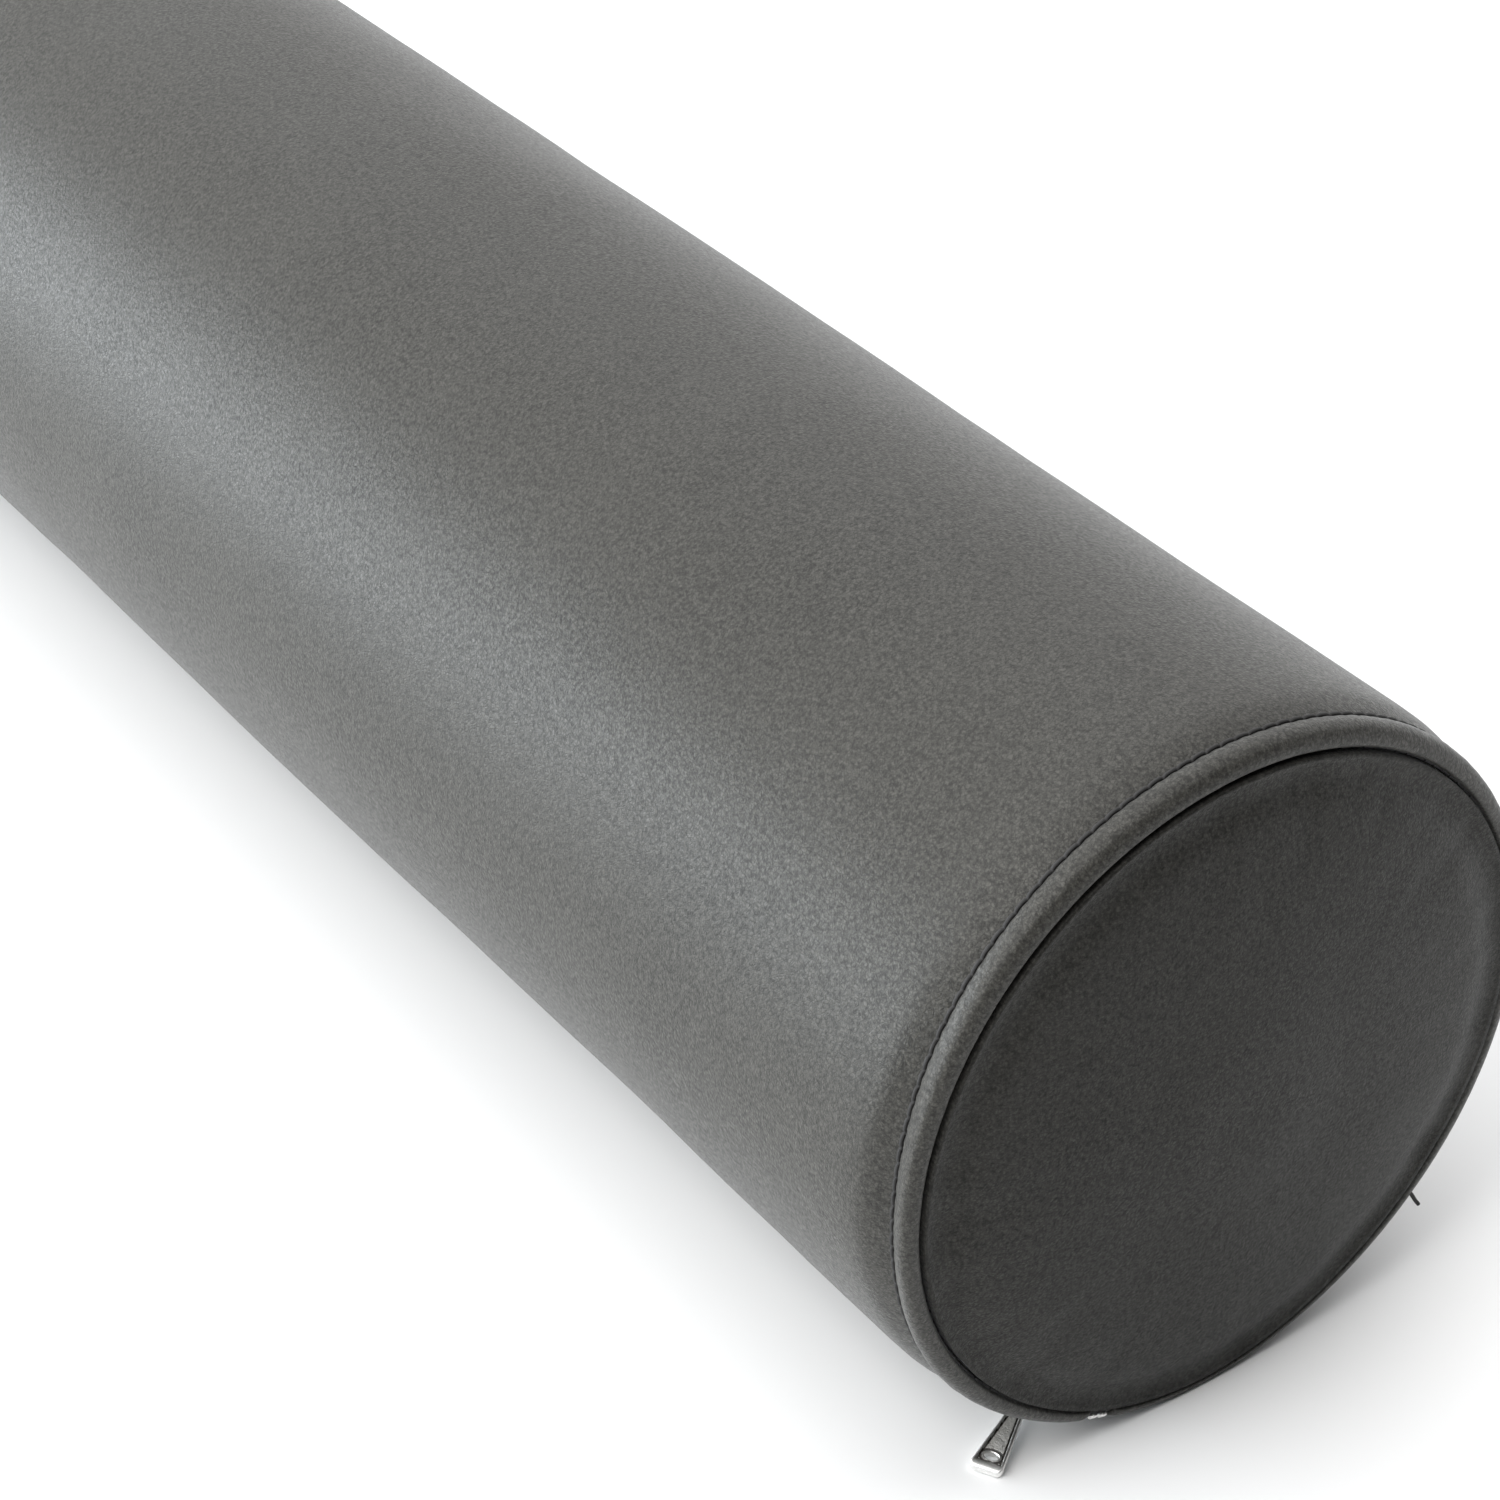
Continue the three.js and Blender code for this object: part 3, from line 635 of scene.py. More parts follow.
def tubePoints(x, r, theta, slack, level):
    # Each stitch pulls the leather in, the rim puffs up unevenly, and the tube is softly slack.
    fromSeam = seamX - np.abs(x)
    end = np.sign(x)
    setback = bolster["stitchSetback"]
    beat = np.cos(theta * stitchCount)
    uneven = roundHills(theta, end * 7 + 20 + fromSeam * 300, 46, 3)
    coarse = roundHills(theta, end * 5 + 9, 17, 4)
    gathers = roundHills(theta, end * 3 + 30 + fromSeam * 60, 190, 7)
    r = r + smoothStep(6 * mm, 3 * mm, fromSeam) * seamRise(r, theta)
    r = r - tube["stitchPull"] * bump(fromSeam, setback, 1.0 * mm) * beat
    behind = np.maximum(fromSeam - setback, 0)
    drawn = bump(behind, 0, tube["pinchReach"]) * smoothStep(-1 * mm, setback, fromSeam)
    r = r - stitchPinch(theta) * drawn
    onRim = bump(fromSeam, 2.4 * mm, 2.2 * mm)
    r = r + tube["rimPuff"] * onRim * (0.4 * uneven + 0.6 * coarse)
    r = r + tube["gather"] * bump(fromSeam, 3.8 * mm, 2.6 * mm) * gathers
    r = r + tube["backPuff"] * bump(fromSeam, setback + 3.4 * mm, 2.6 * mm) * (0.5 * uneven + 0.5 * coarse)
    onTube = smoothStep(6 * mm, 30 * mm, fromSeam)
    r = r + tube["slack"] * onTube * roundHills(theta, x * 9 + 30, 14, 5)
    if slack is not None:
        plain = seamX - tube["endLength"]
        along = (x + plain) / (2 * plain) * (slack.shape[0] - 1)
        around = theta / (2 * math.pi) * slack.shape[1]
        r = r + onTube * sampleGrid(slack, along + 0 * theta, around + 0 * x)
    # Where the flank leaves the floor the leather is pushed into a few low creases.
    degrees = np.degrees(theta) % 360
    flank = bump(degrees, 62, 16) + bump(degrees, 300, 14)
    crease = roundHills(theta + x * 3.0, x * 16 + 11, 34, 8)
    r = r + tube["creaseDepth"] * onTube * flank * crease
    # The lips roll in towards the zip.
    fullTurn = 2 * math.pi
    turned = theta - zipPlan["angle"]
    fromZip = np.minimum(turned % fullTurn, -turned % fullTurn) * radius
    fromLip = np.clip(fromZip - lipHalfGap(x), 0, None)
    r = r - tube["lipRoll"] * np.exp(-fromLip / tube["lipReach"])
    return rest(ringPlace(x, r, theta), level)


def makeCoverTube():
    profile, fine = tubeProfile()
    slack = tubeSlack()
    heading = np.gradient(profile, axis=0)
    heading /= np.linalg.norm(heading, axis=1)[:, None]
    inward = np.stack([heading[:, 1], -heading[:, 0]], -1)
    vertices, faces = [], []

    def addRow(x, r, steps, level):
        share = crowded(np.arange(steps + 1) / steps)
        gap = lipHalfGap(x) / radius
        theta = zipPlan["angle"] + gap + share * (2 * math.pi - 2 * gap)
        first = sum(len(row) for row in vertices)
        vertices.append(tubePoints(np.full(len(theta), x), r, theta, slack, level))
        return np.arange(first, first + len(theta))

    steps = [tube["fineSteps"] if isFine else tube["wideSteps"] for isFine in fine]
    rows = [addRow(x, r, count, 0) for (x, r), count in zip(profile, steps)]
    chosen = list(range(0, len(profile), tube["insideStride"]))
    inner = profile + inward * bolster["leather"]
    inside = [addRow(*inner[k], tube["insideSteps"], bolster["leather"]) for k in chosen]
    for layer in (rows, inside[::-1]):
        for k in range(len(layer) - 1):
            bridge(faces, layer[k], layer[k + 1])
    bridge(faces, rows[-1], inside[-1])
    bridge(faces, inside[0], rows[0])
    for end in (0, -1):
        outerLip = [row[end] for row in rows]
        innerLip = [row[end] for row in inside]
        bridge(faces, *((innerLip, outerLip) if end else (outerLip, innerLip)))
    piece = meshPiece("coverTube", np.vstack(vertices), faces)
    faceOut(piece)
    settle(piece, "cover", "cover_leather", leather, "cover_tube")


# ---- end panels

panel = {
    "rim": 68.85 * mm,
    "crown": 6.6 * mm,
    "rings": 64,
    "around": 288,
    "ridge": 0.22 * mm,                      # unevenness of its face
    "seamLip": 0.55 * mm,                    # the sewn rim stands this proud
    "hollow": 0.8 * mm,                      # with a shallow hollow just inside it
    "gather": 0.14 * mm,
}

# The panel's edge: a small lip at the seam, then the edge turned in beside the tube's.
panelEdge = [(68.92, -0.3), (69.02, -0.8), (69.0, -1.6), (68.95, -3.4), (68.9, -5.6)]


def panelCrown():
    # A round of leather, sewn down at its rim and filled from behind.
    r = np.linspace(0.05, 1, 26)[:, None] * panel["rim"]
    theta = np.linspace(0, 2 * math.pi, 96, endpoint=False)[None, :]
    height = 3 * mm * (1 - (r / panel["rim"]) ** 2) + 0.15 * mm * roundHills(theta, r * 40, 40, 41)
    start = np.stack(np.broadcast_arrays(height, r * np.cos(theta), r * np.sin(theta)), -1)
    pinned = np.zeros(start.shape[:2], bool)
    pinned[-1] = True
    moved = simulate(start[:, ::-1], pinned, True, 0.004, 5.0)[:, ::-1]
    height = moved[..., 0] - moved[-1, :, 0].mean()
    print("panel swelled to", round(height.max() / mm, 2), "mm")
    return height * panel["crown"] / max(height.max(), 1 * mm)


def makeEndPanel(name, side, node, crownShape):
    share = np.linspace(0.003, 1, panel["rings"])[:, None] ** 0.8
    r = share * panel["rim"]
    theta = np.linspace(0, 2 * math.pi, panel["around"], endpoint=False)[None, :]
    height = panel["crown"] * (1 - share ** 2.6) + 0 * theta
    if crownShape is not None:
        turned = (theta * side + (0 if side > 0 else 2.1)) / (2 * math.pi) * crownShape.shape[1]
        swelled = sampleGrid(crownShape, (share - 0.05) / 0.95 * 25 + 0 * theta, turned + 0 * share)
        height = height + 0.45 * smoothStep(0.1, 0.4, share) * (swelled - height)
    height += panel["seamLip"] * bump(r, panel["rim"], 1.0 * mm)
    height -= panel["hollow"] * bump(r, panel["rim"] - 4.5 * mm, 3.6 * mm)
    ridges = hills(r * 45 * np.cos(theta) + 9, r * 45 * np.sin(theta) + 9, 11 + side)
    height += panel["ridge"] * (1 - share ** 6) * ridges
    gathers = roundHills(theta, r * 60, 60, 15 + side)
    height += panel["gather"] * bump(r, panel["rim"] - 4 * mm, 4 * mm) * gathers
    edge = np.array(panelEdge) * mm
    reach = smoothStep(0.45, 1, share)
    dome = ringPlace((seamX + height - 0.25 * mm) * side, r + reach * seamRise(panel["rim"], theta), theta)
    edgeRadius = edge[:, :1] + seamRise(edge[:, :1], theta)
    turnedIn = ringPlace((seamX + edge[:, 1:]) * side + 0 * theta, edgeRadius, theta)
    points = rest(np.vstack([dome, turnedIn]))
    piece = gridPiece(name, points, closed=True)
    mesh = bmesh.new()
    mesh.from_mesh(piece.data)
    mesh.verts.ensure_lookup_table()
    mesh.faces.new([mesh.verts[i] for i in range(panel["around"])])
    bmesh.ops.recalc_face_normals(mesh, faces=mesh.faces)
    mesh.to_mesh(piece.data)
    mesh.free()
    if side * sum(p.normal.x * p.area for p in piece.data.polygons) < 0:
        piece.data.flip_normals()
    thicken(piece, bolster["leather"])
    # The end panel wears the darkened leather, which is painted shade.
    settle(piece, "cover", "cover_leather", panelLeatherPaintedShade, node)


# ---- stitching

stitching = {
    "thread": 0.85 * mm,
    "topstitchDepth": 0.98 * mm,             # its middle, below the tube's surface
    "cover": 0.94,                           # the share of each pitch that a stitch spans
    "holeDepth": 0.45 * mm,
    "seamInset": 1.7 * mm,                   # seam thread behind the seam's plane
    "seamRadius": 69.6 * mm,
    "seamHole": 0.1 * mm,
    "zipOffset": 2.2 * mm,                   # from a lip's edge
    "zipDepth": 2.65 * mm,
    "zipPitch": 3.0 * mm,
}


def stitchRing(name, x, r, sink, clearOfZip, node, tails=(), pinched=False):
    paths = []
    random = np.random.default_rng(51)
    t = np.linspace(-1, 1, 9)
    for k in range(stitchCount):
        middle = (k + 0.5) * stitchStep
        away = abs((middle - zipPlan["angle"] + math.pi) % (2 * math.pi) - math.pi) * radius
        shift, lean = random.normal(0, 0.035 * mm, 2)
        if clearOfZip and away < zipPlan["rimHalfGap"] + 1.7 * mm:
            continue
        theta = middle + t * stitchStep * stitching["cover"] / 2
        deep = r - sink * np.abs(t) ** 5
        deep += -stitchPinch(theta) if pinched else seamRise(deep, theta)
        path = ringPlace(x + shift + lean * t, deep, theta)
        path[:, 2] = np.maximum(path[:, 2], stitching["thread"] * 0.6)
        paths.append(path)
    settle(wires(name, paths + list(tails), stitching["thread"], 7), "cover", "thread", thread, node)


def stitchLine(name, x0, x1, across, out, showsOutside, node):
    # A straight row of lockstitches along the zip, seen from inside and, where it shows, from outside.
    paths = []
    count = int((x1 - x0) / stitching["zipPitch"])
    t = np.linspace(-1, 1, 7)
    for k in range(count):
        x = x0 + (k + 0.5) * (x1 - x0) / count + t * stitching["zipPitch"] * stitching["cover"] / 2
        paths.append(zipPlace(x, across, out + 0.2 * mm * t ** 4))
        if showsOutside:
            theta = zipPlan["angle"] + across / radius
            path = ringPlace(x, radius + 0.12 * mm - 0.5 * mm * np.abs(t) ** 5, theta)
            paths.append(path)
    settle(wires(name, paths, 0.46 * mm, 6), "cover", "thread", thread, node)


def looseEnd():
    # The seam thread's cut end, left sticking out of the end seam.
    t = np.linspace(0, 1, 8)
    theta = math.radians(-46) + 0.02 * t
    r = 68.8 * mm + 7.6 * mm * t + 0.9 * mm * np.sin(t * 5)
    return [ringPlace(seamX - 1.2 * mm + 1.6 * mm * t, r, theta)]


# ---- zip

coil = {"pitch": 1.5 * mm, "wire": 0.62 * mm, "stepsPerTurn": 12, "reach": 1.12 * mm, "height": 0.76 * mm}


def makeCoil(name, side, node):
    low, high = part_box(node)
    turns = int((high.x - low.x - 1 * mm) / coil["pitch"])
    t = np.arange(turns * coil["stepsPerTurn"]) / coil["stepsPerTurn"] * 2 * math.pi
    start = low.x + (0.5 + (0.375 if side > 0 else 1.125)) * mm
    x = start + t / (2 * math.pi) * coil["pitch"]
    across = side * (1.12 * mm - coil["reach"] * np.cos(t))
    path = zipPlace(x, across, zipPlan["middle"] + coil["height"] * np.sin(t))
    settle(wires(name, [path], coil["wire"], 6), "cover", "zip_teeth", coilNylon, node)


tapePlan = {
    "top": -1.5 * mm,
    "thickness": 0.55 * mm,
    "inner": 2.85 * mm,
    "outer": 14 * mm,
    "front": 314.2 * mm,
    "turnAt": 320.3 * mm,
    "turnLength": 2.7 * mm,
    "turnSlope": math.radians(48),
}


def makeTape(name, side, node):
    # Stations from the rear end to the end turned down into the end seam.
    # Behind the bottom stop the two tapes meet.
    tail = np.linspace(zipPlan["rear"] - 5.8 * mm, zipPlan["rear"] + 0.1 * mm, 10)
    main = np.append(tail, np.linspace(zipPlan["rear"] + 1 * mm, tapePlan["front"], 148))
    front = tapePlan["front"] + np.array([0.25, 0.6, 1.0, 2.0, 3.0, 4.0, 5.0, 5.8]) * mm
    turned = np.linspace(0.3 * mm, tapePlan["turnLength"], 7)
    sections = []
    n = 26
    for kind, stations in (("flat", main), ("front", front), ("turned", turned)):
        for s in stations:
            wave = 0.12 * mm * math.sin(s * 190 + side) if kind == "flat" else 0
            inner = tapePlan["inner"] if kind != "turned" else 0.6 * mm
            if kind == "flat":
                parted = smoothStep(zipPlan["rear"] - 1.6 * mm, zipPlan["rear"] - 0.1 * mm, s)
                inner = 0.2 * mm + (inner - 0.2 * mm) * parted
            outer = tapePlan["outer"] + wave if kind == "flat" else 3.15 * mm
            u = np.linspace(0, 1, n)
            half = tapePlan["thickness"] / 2 * np.sqrt(np.clip(1 - (2 * np.abs(u - 0.5)) ** 12, 0.02, 1))
            ridge = 0.05 * mm * bump(u, 0.97, 0.02) if kind == "flat" else 0
            around = inner + (outer - inner) * u
            along = s if kind != "turned" else tapePlan["turnAt"] + s * math.cos(tapePlan["turnSlope"])
            drop = 0 if kind != "turned" else -s * math.sin(tapePlan["turnSlope"])
            middle = tapePlan["top"] - tapePlan["thickness"] / 2 + drop
            lines = []
            for face, order in ((1, slice(None)), (-1, slice(None, None, -1))):
                out = middle + face * (half + ridge)
                a = around[order]
                if kind == "turned":
                    lines.append(zipPlace(along + face * half[order] * math.sin(tapePlan["turnSlope"]),
                                          a * side, out[order]))
                else:
                    theta = zipPlan["angle"] + a * side / radius
                    lines.append(ringPlace(along, radius + out[order], theta))
            sections.append(np.vstack(lines))
    piece = gridPiece(name, np.array(sections), closed=True, ends=True)
    faceOut(piece)
    settle(piece, "cover", "zip_tape", tape, node)


def roundedCopy(name, node, width, segments=3):
    # A CAD piece with its edges rounded, standing in its place.
    piece = bpy.data.objects.new(name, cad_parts[node].data.copy())
    scene.collection.objects.link(piece)
    mesh = bmesh.new()
    mesh.from_mesh(piece.data)
    bmesh.ops.remove_doubles(mesh, verts=mesh.verts, dist=0.004 * mm)
    bmesh.ops.dissolve_limit(mesh, angle_limit=math.radians(1.5), verts=mesh.verts, edges=mesh.edges)
    mesh.to_mesh(piece.data)
    mesh.free()
    rounding = piece.modifiers.new("edges", "BEVEL")
    rounding.width = width
    rounding.segments = segments
    rounding.limit_method = "ANGLE"
    rounding.angle_limit = math.radians(38)
    piece.modifiers.new("flats", "WEIGHTED_NORMAL").keep_sharp = True
    applyModifiers(piece)
    return piece


def makeMetal(name, node, body, width):
    return settle(roundedCopy(name, node, width), body, "zip_metal", nickel, node)


pull = {
    "length": 19.5 * mm,                     # from the pin to the tip
    "tipWidth": 6.8 * mm,
    "taper": 0.235,
    "plateStart": 2.3 * mm,
    "half": 0.85 * mm,
    "dip": math.radians(5.76),
    "edge": 0.36 * mm,                       # rounding of the outer edges
    "tipRoll": 1.5 * mm,                     # how far back the tip starts to roll down
    "tipDrop": 0.75 * mm,
    "corner": 1.5 * mm,
    "rim": 0.62 * mm,
    "bead": 0.22 * mm,                       # rounding of the rim's inner edge
    "recessFrom": 3.6 * mm,
    "recessTo": 17.7 * mm,
    "grooveWidth": 0.32 * mm,
    "grooveDepth": 0.55 * mm,
    "panelDepth": 0.24 * mm,
    "eyeAt": 16.0 * mm,
    "eyeAcross": 1.55 * mm,
    "eyeAlong": 1.0 * mm,
    "eyeRing": 0.36 * mm,
    "softEdge": 0.06 * mm,
}


def halfAt(x):
    # Half the tab's width, without its rounded corners.
    return (pull["tipWidth"] - pull["taper"] * (pull["length"] - x)) / 2


def cornerInset(x):
    # How far the rounded corners of the tip come in at x.
    size = pull["corner"]
    past = np.clip(x - (pull["length"] - size), 0, size)
    return 0.9 * (size - np.sqrt(size ** 2 - past ** 2))


def quarterRound(distance, size):
    # How far a rounded edge lies below its flat, at a distance in from the edge.
    return size - np.sqrt(size ** 2 - (size - np.clip(distance, 0, size)) ** 2)


def tabHeights(x, y):
    # The tab's top: a rounded raised rim, a groove inside it, a stippled panel and the eye's ring.
    fromSide = np.minimum(halfAt(x) - cornerInset(x) - np.abs(y), pull["length"] - x)
    top = pull["half"] - quarterRound(fromSide, pull["edge"])
    onTip = np.clip((x - (pull["length"] - pull["tipRoll"])) / pull["tipRoll"], 0, 1)
    top = top - pull["tipDrop"] * (1 - np.sqrt(1 - 0.96 * onTip ** 2))
    fromEnds = np.minimum(x - pull["recessFrom"], pull["recessTo"] - x)
    inside = np.minimum(halfAt(x) - pull["rim"] - np.abs(y), fromEnds)
    top = top - np.where(inside < 0, quarterRound(-inside, pull["bead"]), 0)
    # Inside the rim: the groove's floor, the panel and the ring round the eye.
    eyeShare = np.hypot(y / pull["eyeAcross"], (x - pull["eyeAt"]) / pull["eyeAlong"])
    fromEye = (eyeShare - 1) * pull["eyeAlong"]
    inEdge = np.minimum(inside - pull["grooveWidth"], fromEye - pull["eyeRing"] - pull["grooveWidth"])
    soft = pull["softEdge"]
    onPanel = smoothStep(-soft, soft, inEdge)
    onRing = 1 - smoothStep(pull["eyeRing"] - soft, pull["eyeRing"] + soft, fromEye)
    depth = pull["grooveDepth"] + (pull["panelDepth"] - pull["grooveDepth"]) * np.maximum(onPanel, onRing)
    return np.where(inside < 0, top, pull["half"] - depth)


def makePullTab():
    pin = Vector(pinPoint)
    level, fall = math.cos(pull["dip"]), math.sin(pull["dip"])
    heading = Vector((linkHeading[0] * level, linkHeading[1] * level, -fall))
    sideways = Vector((-linkHeading[1], linkHeading[0], 0))
    upward = heading.cross(sideways)
    toWorld = Matrix((
        (heading.x, sideways.x, upward.x, pin.x),
        (heading.y, sideways.y, upward.y, pin.y),
        (heading.z, sideways.z, upward.z, pin.z),
        (0, 0, 0, 1),
    ))
    stations = np.linspace(pull["plateStart"], pull["length"] - 0.6 * mm, 118)
    tip = np.array([0.5, 0.4, 0.3, 0.2, 0.12, 0.06, 0.02, 0.0]) * mm
    stations = np.append(stations, pull["length"] - tip)
    share = np.linspace(-1, 1, 61)
    share = np.sin(share * math.pi / 2) * 0.35 + share * 0.65
    halfWidth = halfAt(stations) - cornerInset(stations)
    x = stations[:, None] + 0 * share
    y = halfWidth[:, None] * share
    top = tabHeights(x, y)
    fromSide = np.minimum(halfWidth[:, None] - np.abs(y), pull["length"] - x)
    under = quarterRound(fromSide, pull["edge"]) - pull["half"]
    ring = np.concatenate([np.stack([x, y, top], -1), np.stack([x, y, under], -1)[:, ::-1]], 1)
    plate = gridPiece("pullTab", ring, closed=True, ends=True)
    faceOut(plate)

    # The eye is cut right through.
    turn = np.linspace(0, 2 * math.pi, 48, endpoint=False)
    eyeX = pull["eyeAt"] + pull["eyeAlong"] * np.cos(turn)
    eye = np.stack([eyeX, pull["eyeAcross"] * np.sin(turn), 0 * turn], -1)
    levels = np.array([-2, 2])[:, None, None] * mm * np.array([0, 0, 1])
    cutter = gridPiece("eyeCutter", eye + levels, closed=True, ends=True)
    faceOut(cutter)
    cutting = plate.modifiers.new("eye", "BOOLEAN")
    cutting.operation = "DIFFERENCE"
    cutting.object = cutter
    cutting.solver = "EXACT"
    applyModifiers(plate)
    bpy.data.objects.remove(cutter)

    # The knuckle on the link's pin, and the neck.
    knuckle = roundedCopy("knuckle", "pull_tab", 0.15 * mm)
    knuckle.data.transform(toWorld.inverted())
    mesh = bmesh.new()
    mesh.from_mesh(knuckle.data)
    everything = mesh.verts[:] + mesh.edges[:] + mesh.faces[:]
    neckEnd = pull["plateStart"] + 0.6 * mm
    cut = bmesh.ops.bisect_plane(
        mesh, geom=everything,
        plane_co=(neckEnd, 0, 0), plane_no=(1, 0, 0),
        clear_outer=True,
    )
    bmesh.ops.holes_fill(mesh, edges=[e for e in cut["geom_cut"] if isinstance(e, bmesh.types.BMEdge)])
    mesh.from_mesh(plate.data)
    mesh.to_mesh(plate.data)
    mesh.free()
    bpy.data.objects.remove(knuckle)

    settle(plate, "pull_tab", "zip_metal", nickel, "pull_tab")
    plate.data.materials.append(nickelStippled)
    plate.data.materials.append(grooveBlack)
    for face in plate.data.polygons:
        # Plain on the eye's ring, stippled on the panel, and black in the grooves.
        x, y, z = face.center
        inRecess = pull["recessFrom"] < x < pull["recessTo"] and abs(y) < halfAt(x) - pull["rim"]
        if inRecess and z > 0:
            isFloor = face.normal.z > 0.9 and abs(pull["half"] - z - pull["panelDepth"]) < 0.05 * mm
            isByEye = x > pull["eyeAt"] - pull["eyeAlong"] - pull["eyeRing"] - 0.05 * mm
            face.material_index = 0 if isFloor and isByEye else 1 if isFloor else 2
    plate.data.transform(toWorld)
    plate.data.shade_smooth()
    plate.modifiers.new("flats", "WEIGHTED_NORMAL").keep_sharp = True
    materials = list(plate.data.materials)
    applyModifiers(plate)
    for material in materials[len(plate.data.materials):]:
        plate.data.materials.append(material)


# ---- liner and core

filling = {
    "zipRoom": 70.3 * mm,                    # the stuffing is pressed in to here, under the zip
    "restLevel": 2.5 * mm,
    "liner": 0.5 * mm,
}


def turnedPiece(name, profile, around, lumps, seed, slot, material, node, side=1, thickness=0):
    profile = np.array(profile) * mm
    theta = np.linspace(0, 2 * math.pi, around, endpoint=False)[None, :]
    r, x = profile[:, :1], profile[:, 1:]
    r = r + lumps * roundHills(theta, x * 30, 24, seed) * smoothStep(2 * mm, 8 * mm, r)
    points = ringPlace(x * side + 0 * theta, r, theta)
    outward = np.array([0, -math.sin(zipPlan["angle"]), -math.cos(zipPlan["angle"])])
    past = (points - [0, 0, axisHeight]) @ outward - filling["zipRoom"]
    points -= np.clip(past, 0, None)[..., None] * outward
    rest(points, filling["restLevel"])
    piece = gridPiece(name, points, closed=True)
    mesh = bmesh.new()
    mesh.from_mesh(piece.data)
    mesh.verts.ensure_lookup_table()
    starts = [0] * int(profile[0, 0] < 2 * mm) + [len(mesh.verts) - around] * int(profile[-1, 0] < 2 * mm)
    for first in starts:
        mesh.faces.new([mesh.verts[first + i] for i in range(around)])
    bmesh.ops.recalc_face_normals(mesh, faces=mesh.faces)
    mesh.to_mesh(piece.data)
    mesh.free()
    if thickness:
        thicken(piece, thickness)
    settle(piece, "cover", slot, material, node)


def domeProfile(rim, rimX, crown, steps=16):
    share = np.sin(np.linspace(0.01, math.pi / 2, steps))
    return [(rim * s, rimX + crown * (1 - s ** 2.4)) for s in share]


def mirrored(points):
    return [(r, -x) for r, x in points][::-1]


def makeFilling():
    edgeX = seamX / mm - 6.3
    front = [(71.3, edgeX - 4.5), (70.4, edgeX - 2.0), (65.6, edgeX)]
    frontDome = domeProfile(65.2, seamX / mm - 3.9, 4.2)[::-1]
    side = [(71.3, x) for x in np.linspace(-edgeX + 9, edgeX - 9, 24)]
    core = mirrored(front + frontDome) + side + front + frontDome
    turnedPiece("foamCore", core, 120, 0.15 * mm, 21, "foam", foam, "foam_core")
    end = [(72.1, edgeX - 4.4), (71.4, edgeX - 2.2), (66.8, edgeX + 0.1)]
    sleeve = mirrored(end) + [(72.1, x) for x in np.linspace(-edgeX + 8, edgeX - 8, 70)] + end
    turnedPiece(
        "linerSleeve", sleeve, 144, 0.12 * mm, 22, "liner", linerCloth, "liner_sleeve",
        thickness=filling["liner"],
    )
    cap = domeProfile(66.0, seamX / mm - 2.6, 5.0) + [(66.4, seamX / mm - 3.6), (66.4, seamX / mm - 5.8)]
    for end, side in (("Front", 1), ("Rear", -1)):
        node = "liner_" + end.lower() + "_cap"
        turnedPiece(
            "liner" + end + "Cap", cap, 120, 0.1 * mm, 23, "liner", linerCloth, node,
            side=side, thickness=filling["liner"],
        )


# ---- room, light and camera

view = {"lens": 93.14, "distance": (5.341, -5.123, 5.977), "back": (0.6786, -0.4715, 0.5632)}


def makeCamera():
    camera = bpy.data.objects.new("camera", bpy.data.cameras.new("camera"))
    scene.collection.objects.link(camera)
    camera.data.lens = view["lens"]
    camera.data.sensor_width = 36
    camera.data.clip_end = 50
    back = Vector(view["back"]).normalized()
    right = Vector((0, 0, 1)).cross(back).normalized()
    up = back.cross(right)
    place = Vector((seamX, 0, axisHeight)) + Vector(view["distance"]) * radius
    camera.matrix_world = Matrix((
        (right.x, up.x, back.x, place.x),
        (right.y, up.y, back.y, place.y),
        (right.z, up.z, back.z, place.z),
        (0, 0, 0, 1),
    ))
    scene.camera = camera


def makeFloor():
    size = 12
    corners = [(-size, -size, 0), (size, -size, 0), (size, size, 0), (-size, size, 0)]
    piece = meshPiece("floor", corners, [(0, 1, 2, 3)])
    piece.data.materials.append(floorMaterial())


lights = {
    "leftStrip": {
        "place": (-1.3, -1.7, 0.30), "aim": (-0.1, 0, 0.10), "size": (3.4, 0.30),
        "watts": 60, "colour": (0.86, 0.94, 1.0),
    },
    "leftKey": {
        "place": (0.5, -1.9, 2.2), "aim": (0, 0, 0.05), "size": (1.6, 1.6),
        "watts": 34, "colour": (1.0, 0.99, 0.97),
    },
}
# How bright the room is, and where it dims: ahead of the front end, to the right and behind.
studio = {"bright": 2.3, "dim": 0.02, "lift": 0.5, "from": -0.3, "to": 0.15, "right": 0.6, "rear": 0.55}


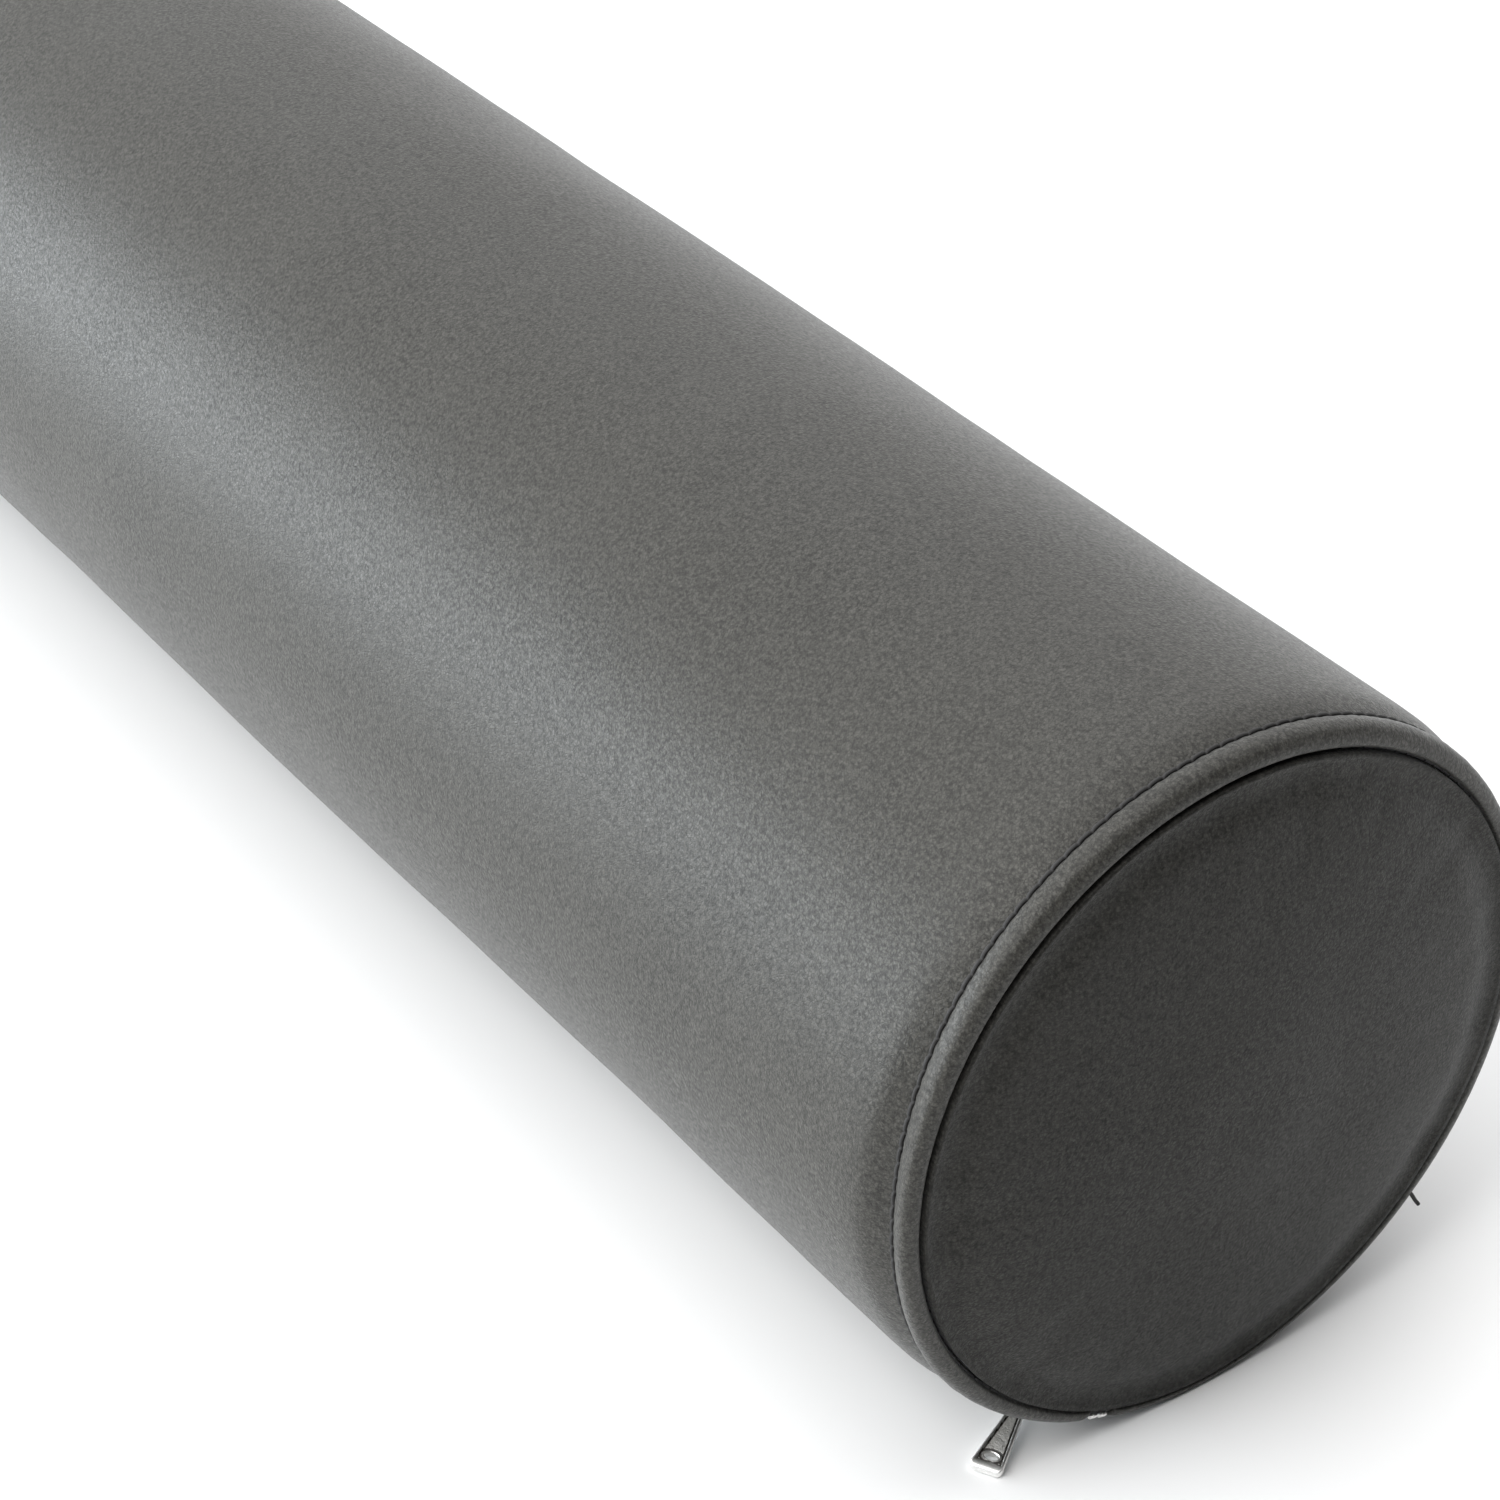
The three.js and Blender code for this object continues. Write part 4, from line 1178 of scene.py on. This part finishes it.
def makeLights():
    for name, light in lights.items():
        data = bpy.data.lights.new(name, "AREA")
        data.shape = "RECTANGLE"
        data.size, data.size_y = light["size"]
        data.energy = light["watts"]
        data.color = light["colour"]
        lamp = bpy.data.objects.new(name, data)
        scene.collection.objects.link(lamp)
        lamp.location = light["place"]
        away = Vector(light["place"]) - Vector(light["aim"])
        lamp.rotation_euler = away.to_track_quat("Z", "Y").to_euler()
        lamp.visible_camera = False
    # A bright room, dimmer where the front end looks, with a white sky behind everything.
    world = bpy.data.worlds.new("studio")
    scene.world = world
    world.use_nodes = True
    tree = world.node_tree
    direction = addNode(tree, "ShaderNodeTexCoord").outputs["Generated"]
    heading = addNode(tree, "ShaderNodeSeparateXYZ", {0: direction})
    lowFront = maths(tree, "MULTIPLY_ADD", heading.outputs[2], -studio["lift"], heading.outputs[0])
    sky = ranged(tree, lowFront, studio["from"], studio["to"], studio["bright"], studio["dim"])
    sky = maths(tree, "MULTIPLY", sky, ranged(tree, heading.outputs[1], 0.2, 0.8, 1.0, studio["right"]))
    sky = maths(tree, "MULTIPLY", sky, ranged(tree, heading.outputs[0], -0.66, -0.9, 1.0, studio["rear"]))
    seen = addNode(tree, "ShaderNodeLightPath").outputs["Is Camera Ray"]
    unseen = maths(tree, "SUBTRACT", 1.0, seen)
    background = tree.nodes["Background"]
    background.inputs["Color"].default_value = (1, 1, 1, 1)
    tree.links.new(maths(tree, "MULTIPLY_ADD", sky, unseen, seen), background.inputs["Strength"])


scene.view_settings.view_transform = "Standard"
makeCamera()
makeFloor()
makeLights()
print("room made")

makeCoverTube()
print("cover tube made")
crownShape = panelCrown()
makeEndPanel("frontEndPanel", 1, "front_end_panel", crownShape)
makeEndPanel("rearEndPanel", -1, "rear_end_panel", crownShape)
print("end panels made")

grooveX = seamX - bolster["stitchSetback"]
for end, side in (("front", 1), ("rear", -1)):
    stitchRing(
        end + "Topstitch", grooveX * side, radius - stitching["topstitchDepth"], stitching["holeDepth"],
        side > 0, end + "_topstitch", pinched=True,
    )
for end, side in (("front", 1), ("rear", -1)):
    stitchRing(
        end + "SeamStitches", (seamX - stitching["seamInset"]) * side, stitching["seamRadius"],
        stitching["seamHole"], side > 0, end + "_seam_thread", looseEnd() if side > 0 else (),
    )
zipRear, zipFront = zipPlan["rear"] + 3 * mm, seamX - 9 * mm
for row, side in (("Near", 1), ("Far", -1)):
    across = side * (zipPlan["lipHalfGap"] + stitching["zipOffset"])
    node = "zip_stitching_" + row.lower()
    stitchLine("zipStitching" + row, zipRear, zipFront, across, -stitching["zipDepth"], True, node)
stitchLine(
    "closingSeamStitches", 8 * mm - seamX, zipPlan["rear"], 0, -bolster["leather"] / 2, False,
    "closing_seam_thread",
)
print("stitching made")

zipRows = (("Near", 1), ("Far", -1))
for row, side in zipRows:
    makeCoil("zipTeeth" + row, side, "zip_teeth_" + row.lower())
for row, side in zipRows:
    makeTape("zipTape" + row, side, "zip_tape_" + row.lower())
for row, side in zipRows:
    makeMetal("zipTopStop" + row, "zip_top_stop_" + row.lower(), "cover", 0.4 * mm)
makeMetal("zipBottomStop", "zip_bottom_stop", "cover", 0.5 * mm)
makeMetal("sliderBody", "slider_body", "slider", 0.25 * mm)
makeMetal("sliderCrown", "slider_crown", "slider", 0.25 * mm)
makeMetal("pullLink", "pull_link", "pull_link", 0.2 * mm)
makePullTab()
print("zip made")

makeFilling()
print("filling made")
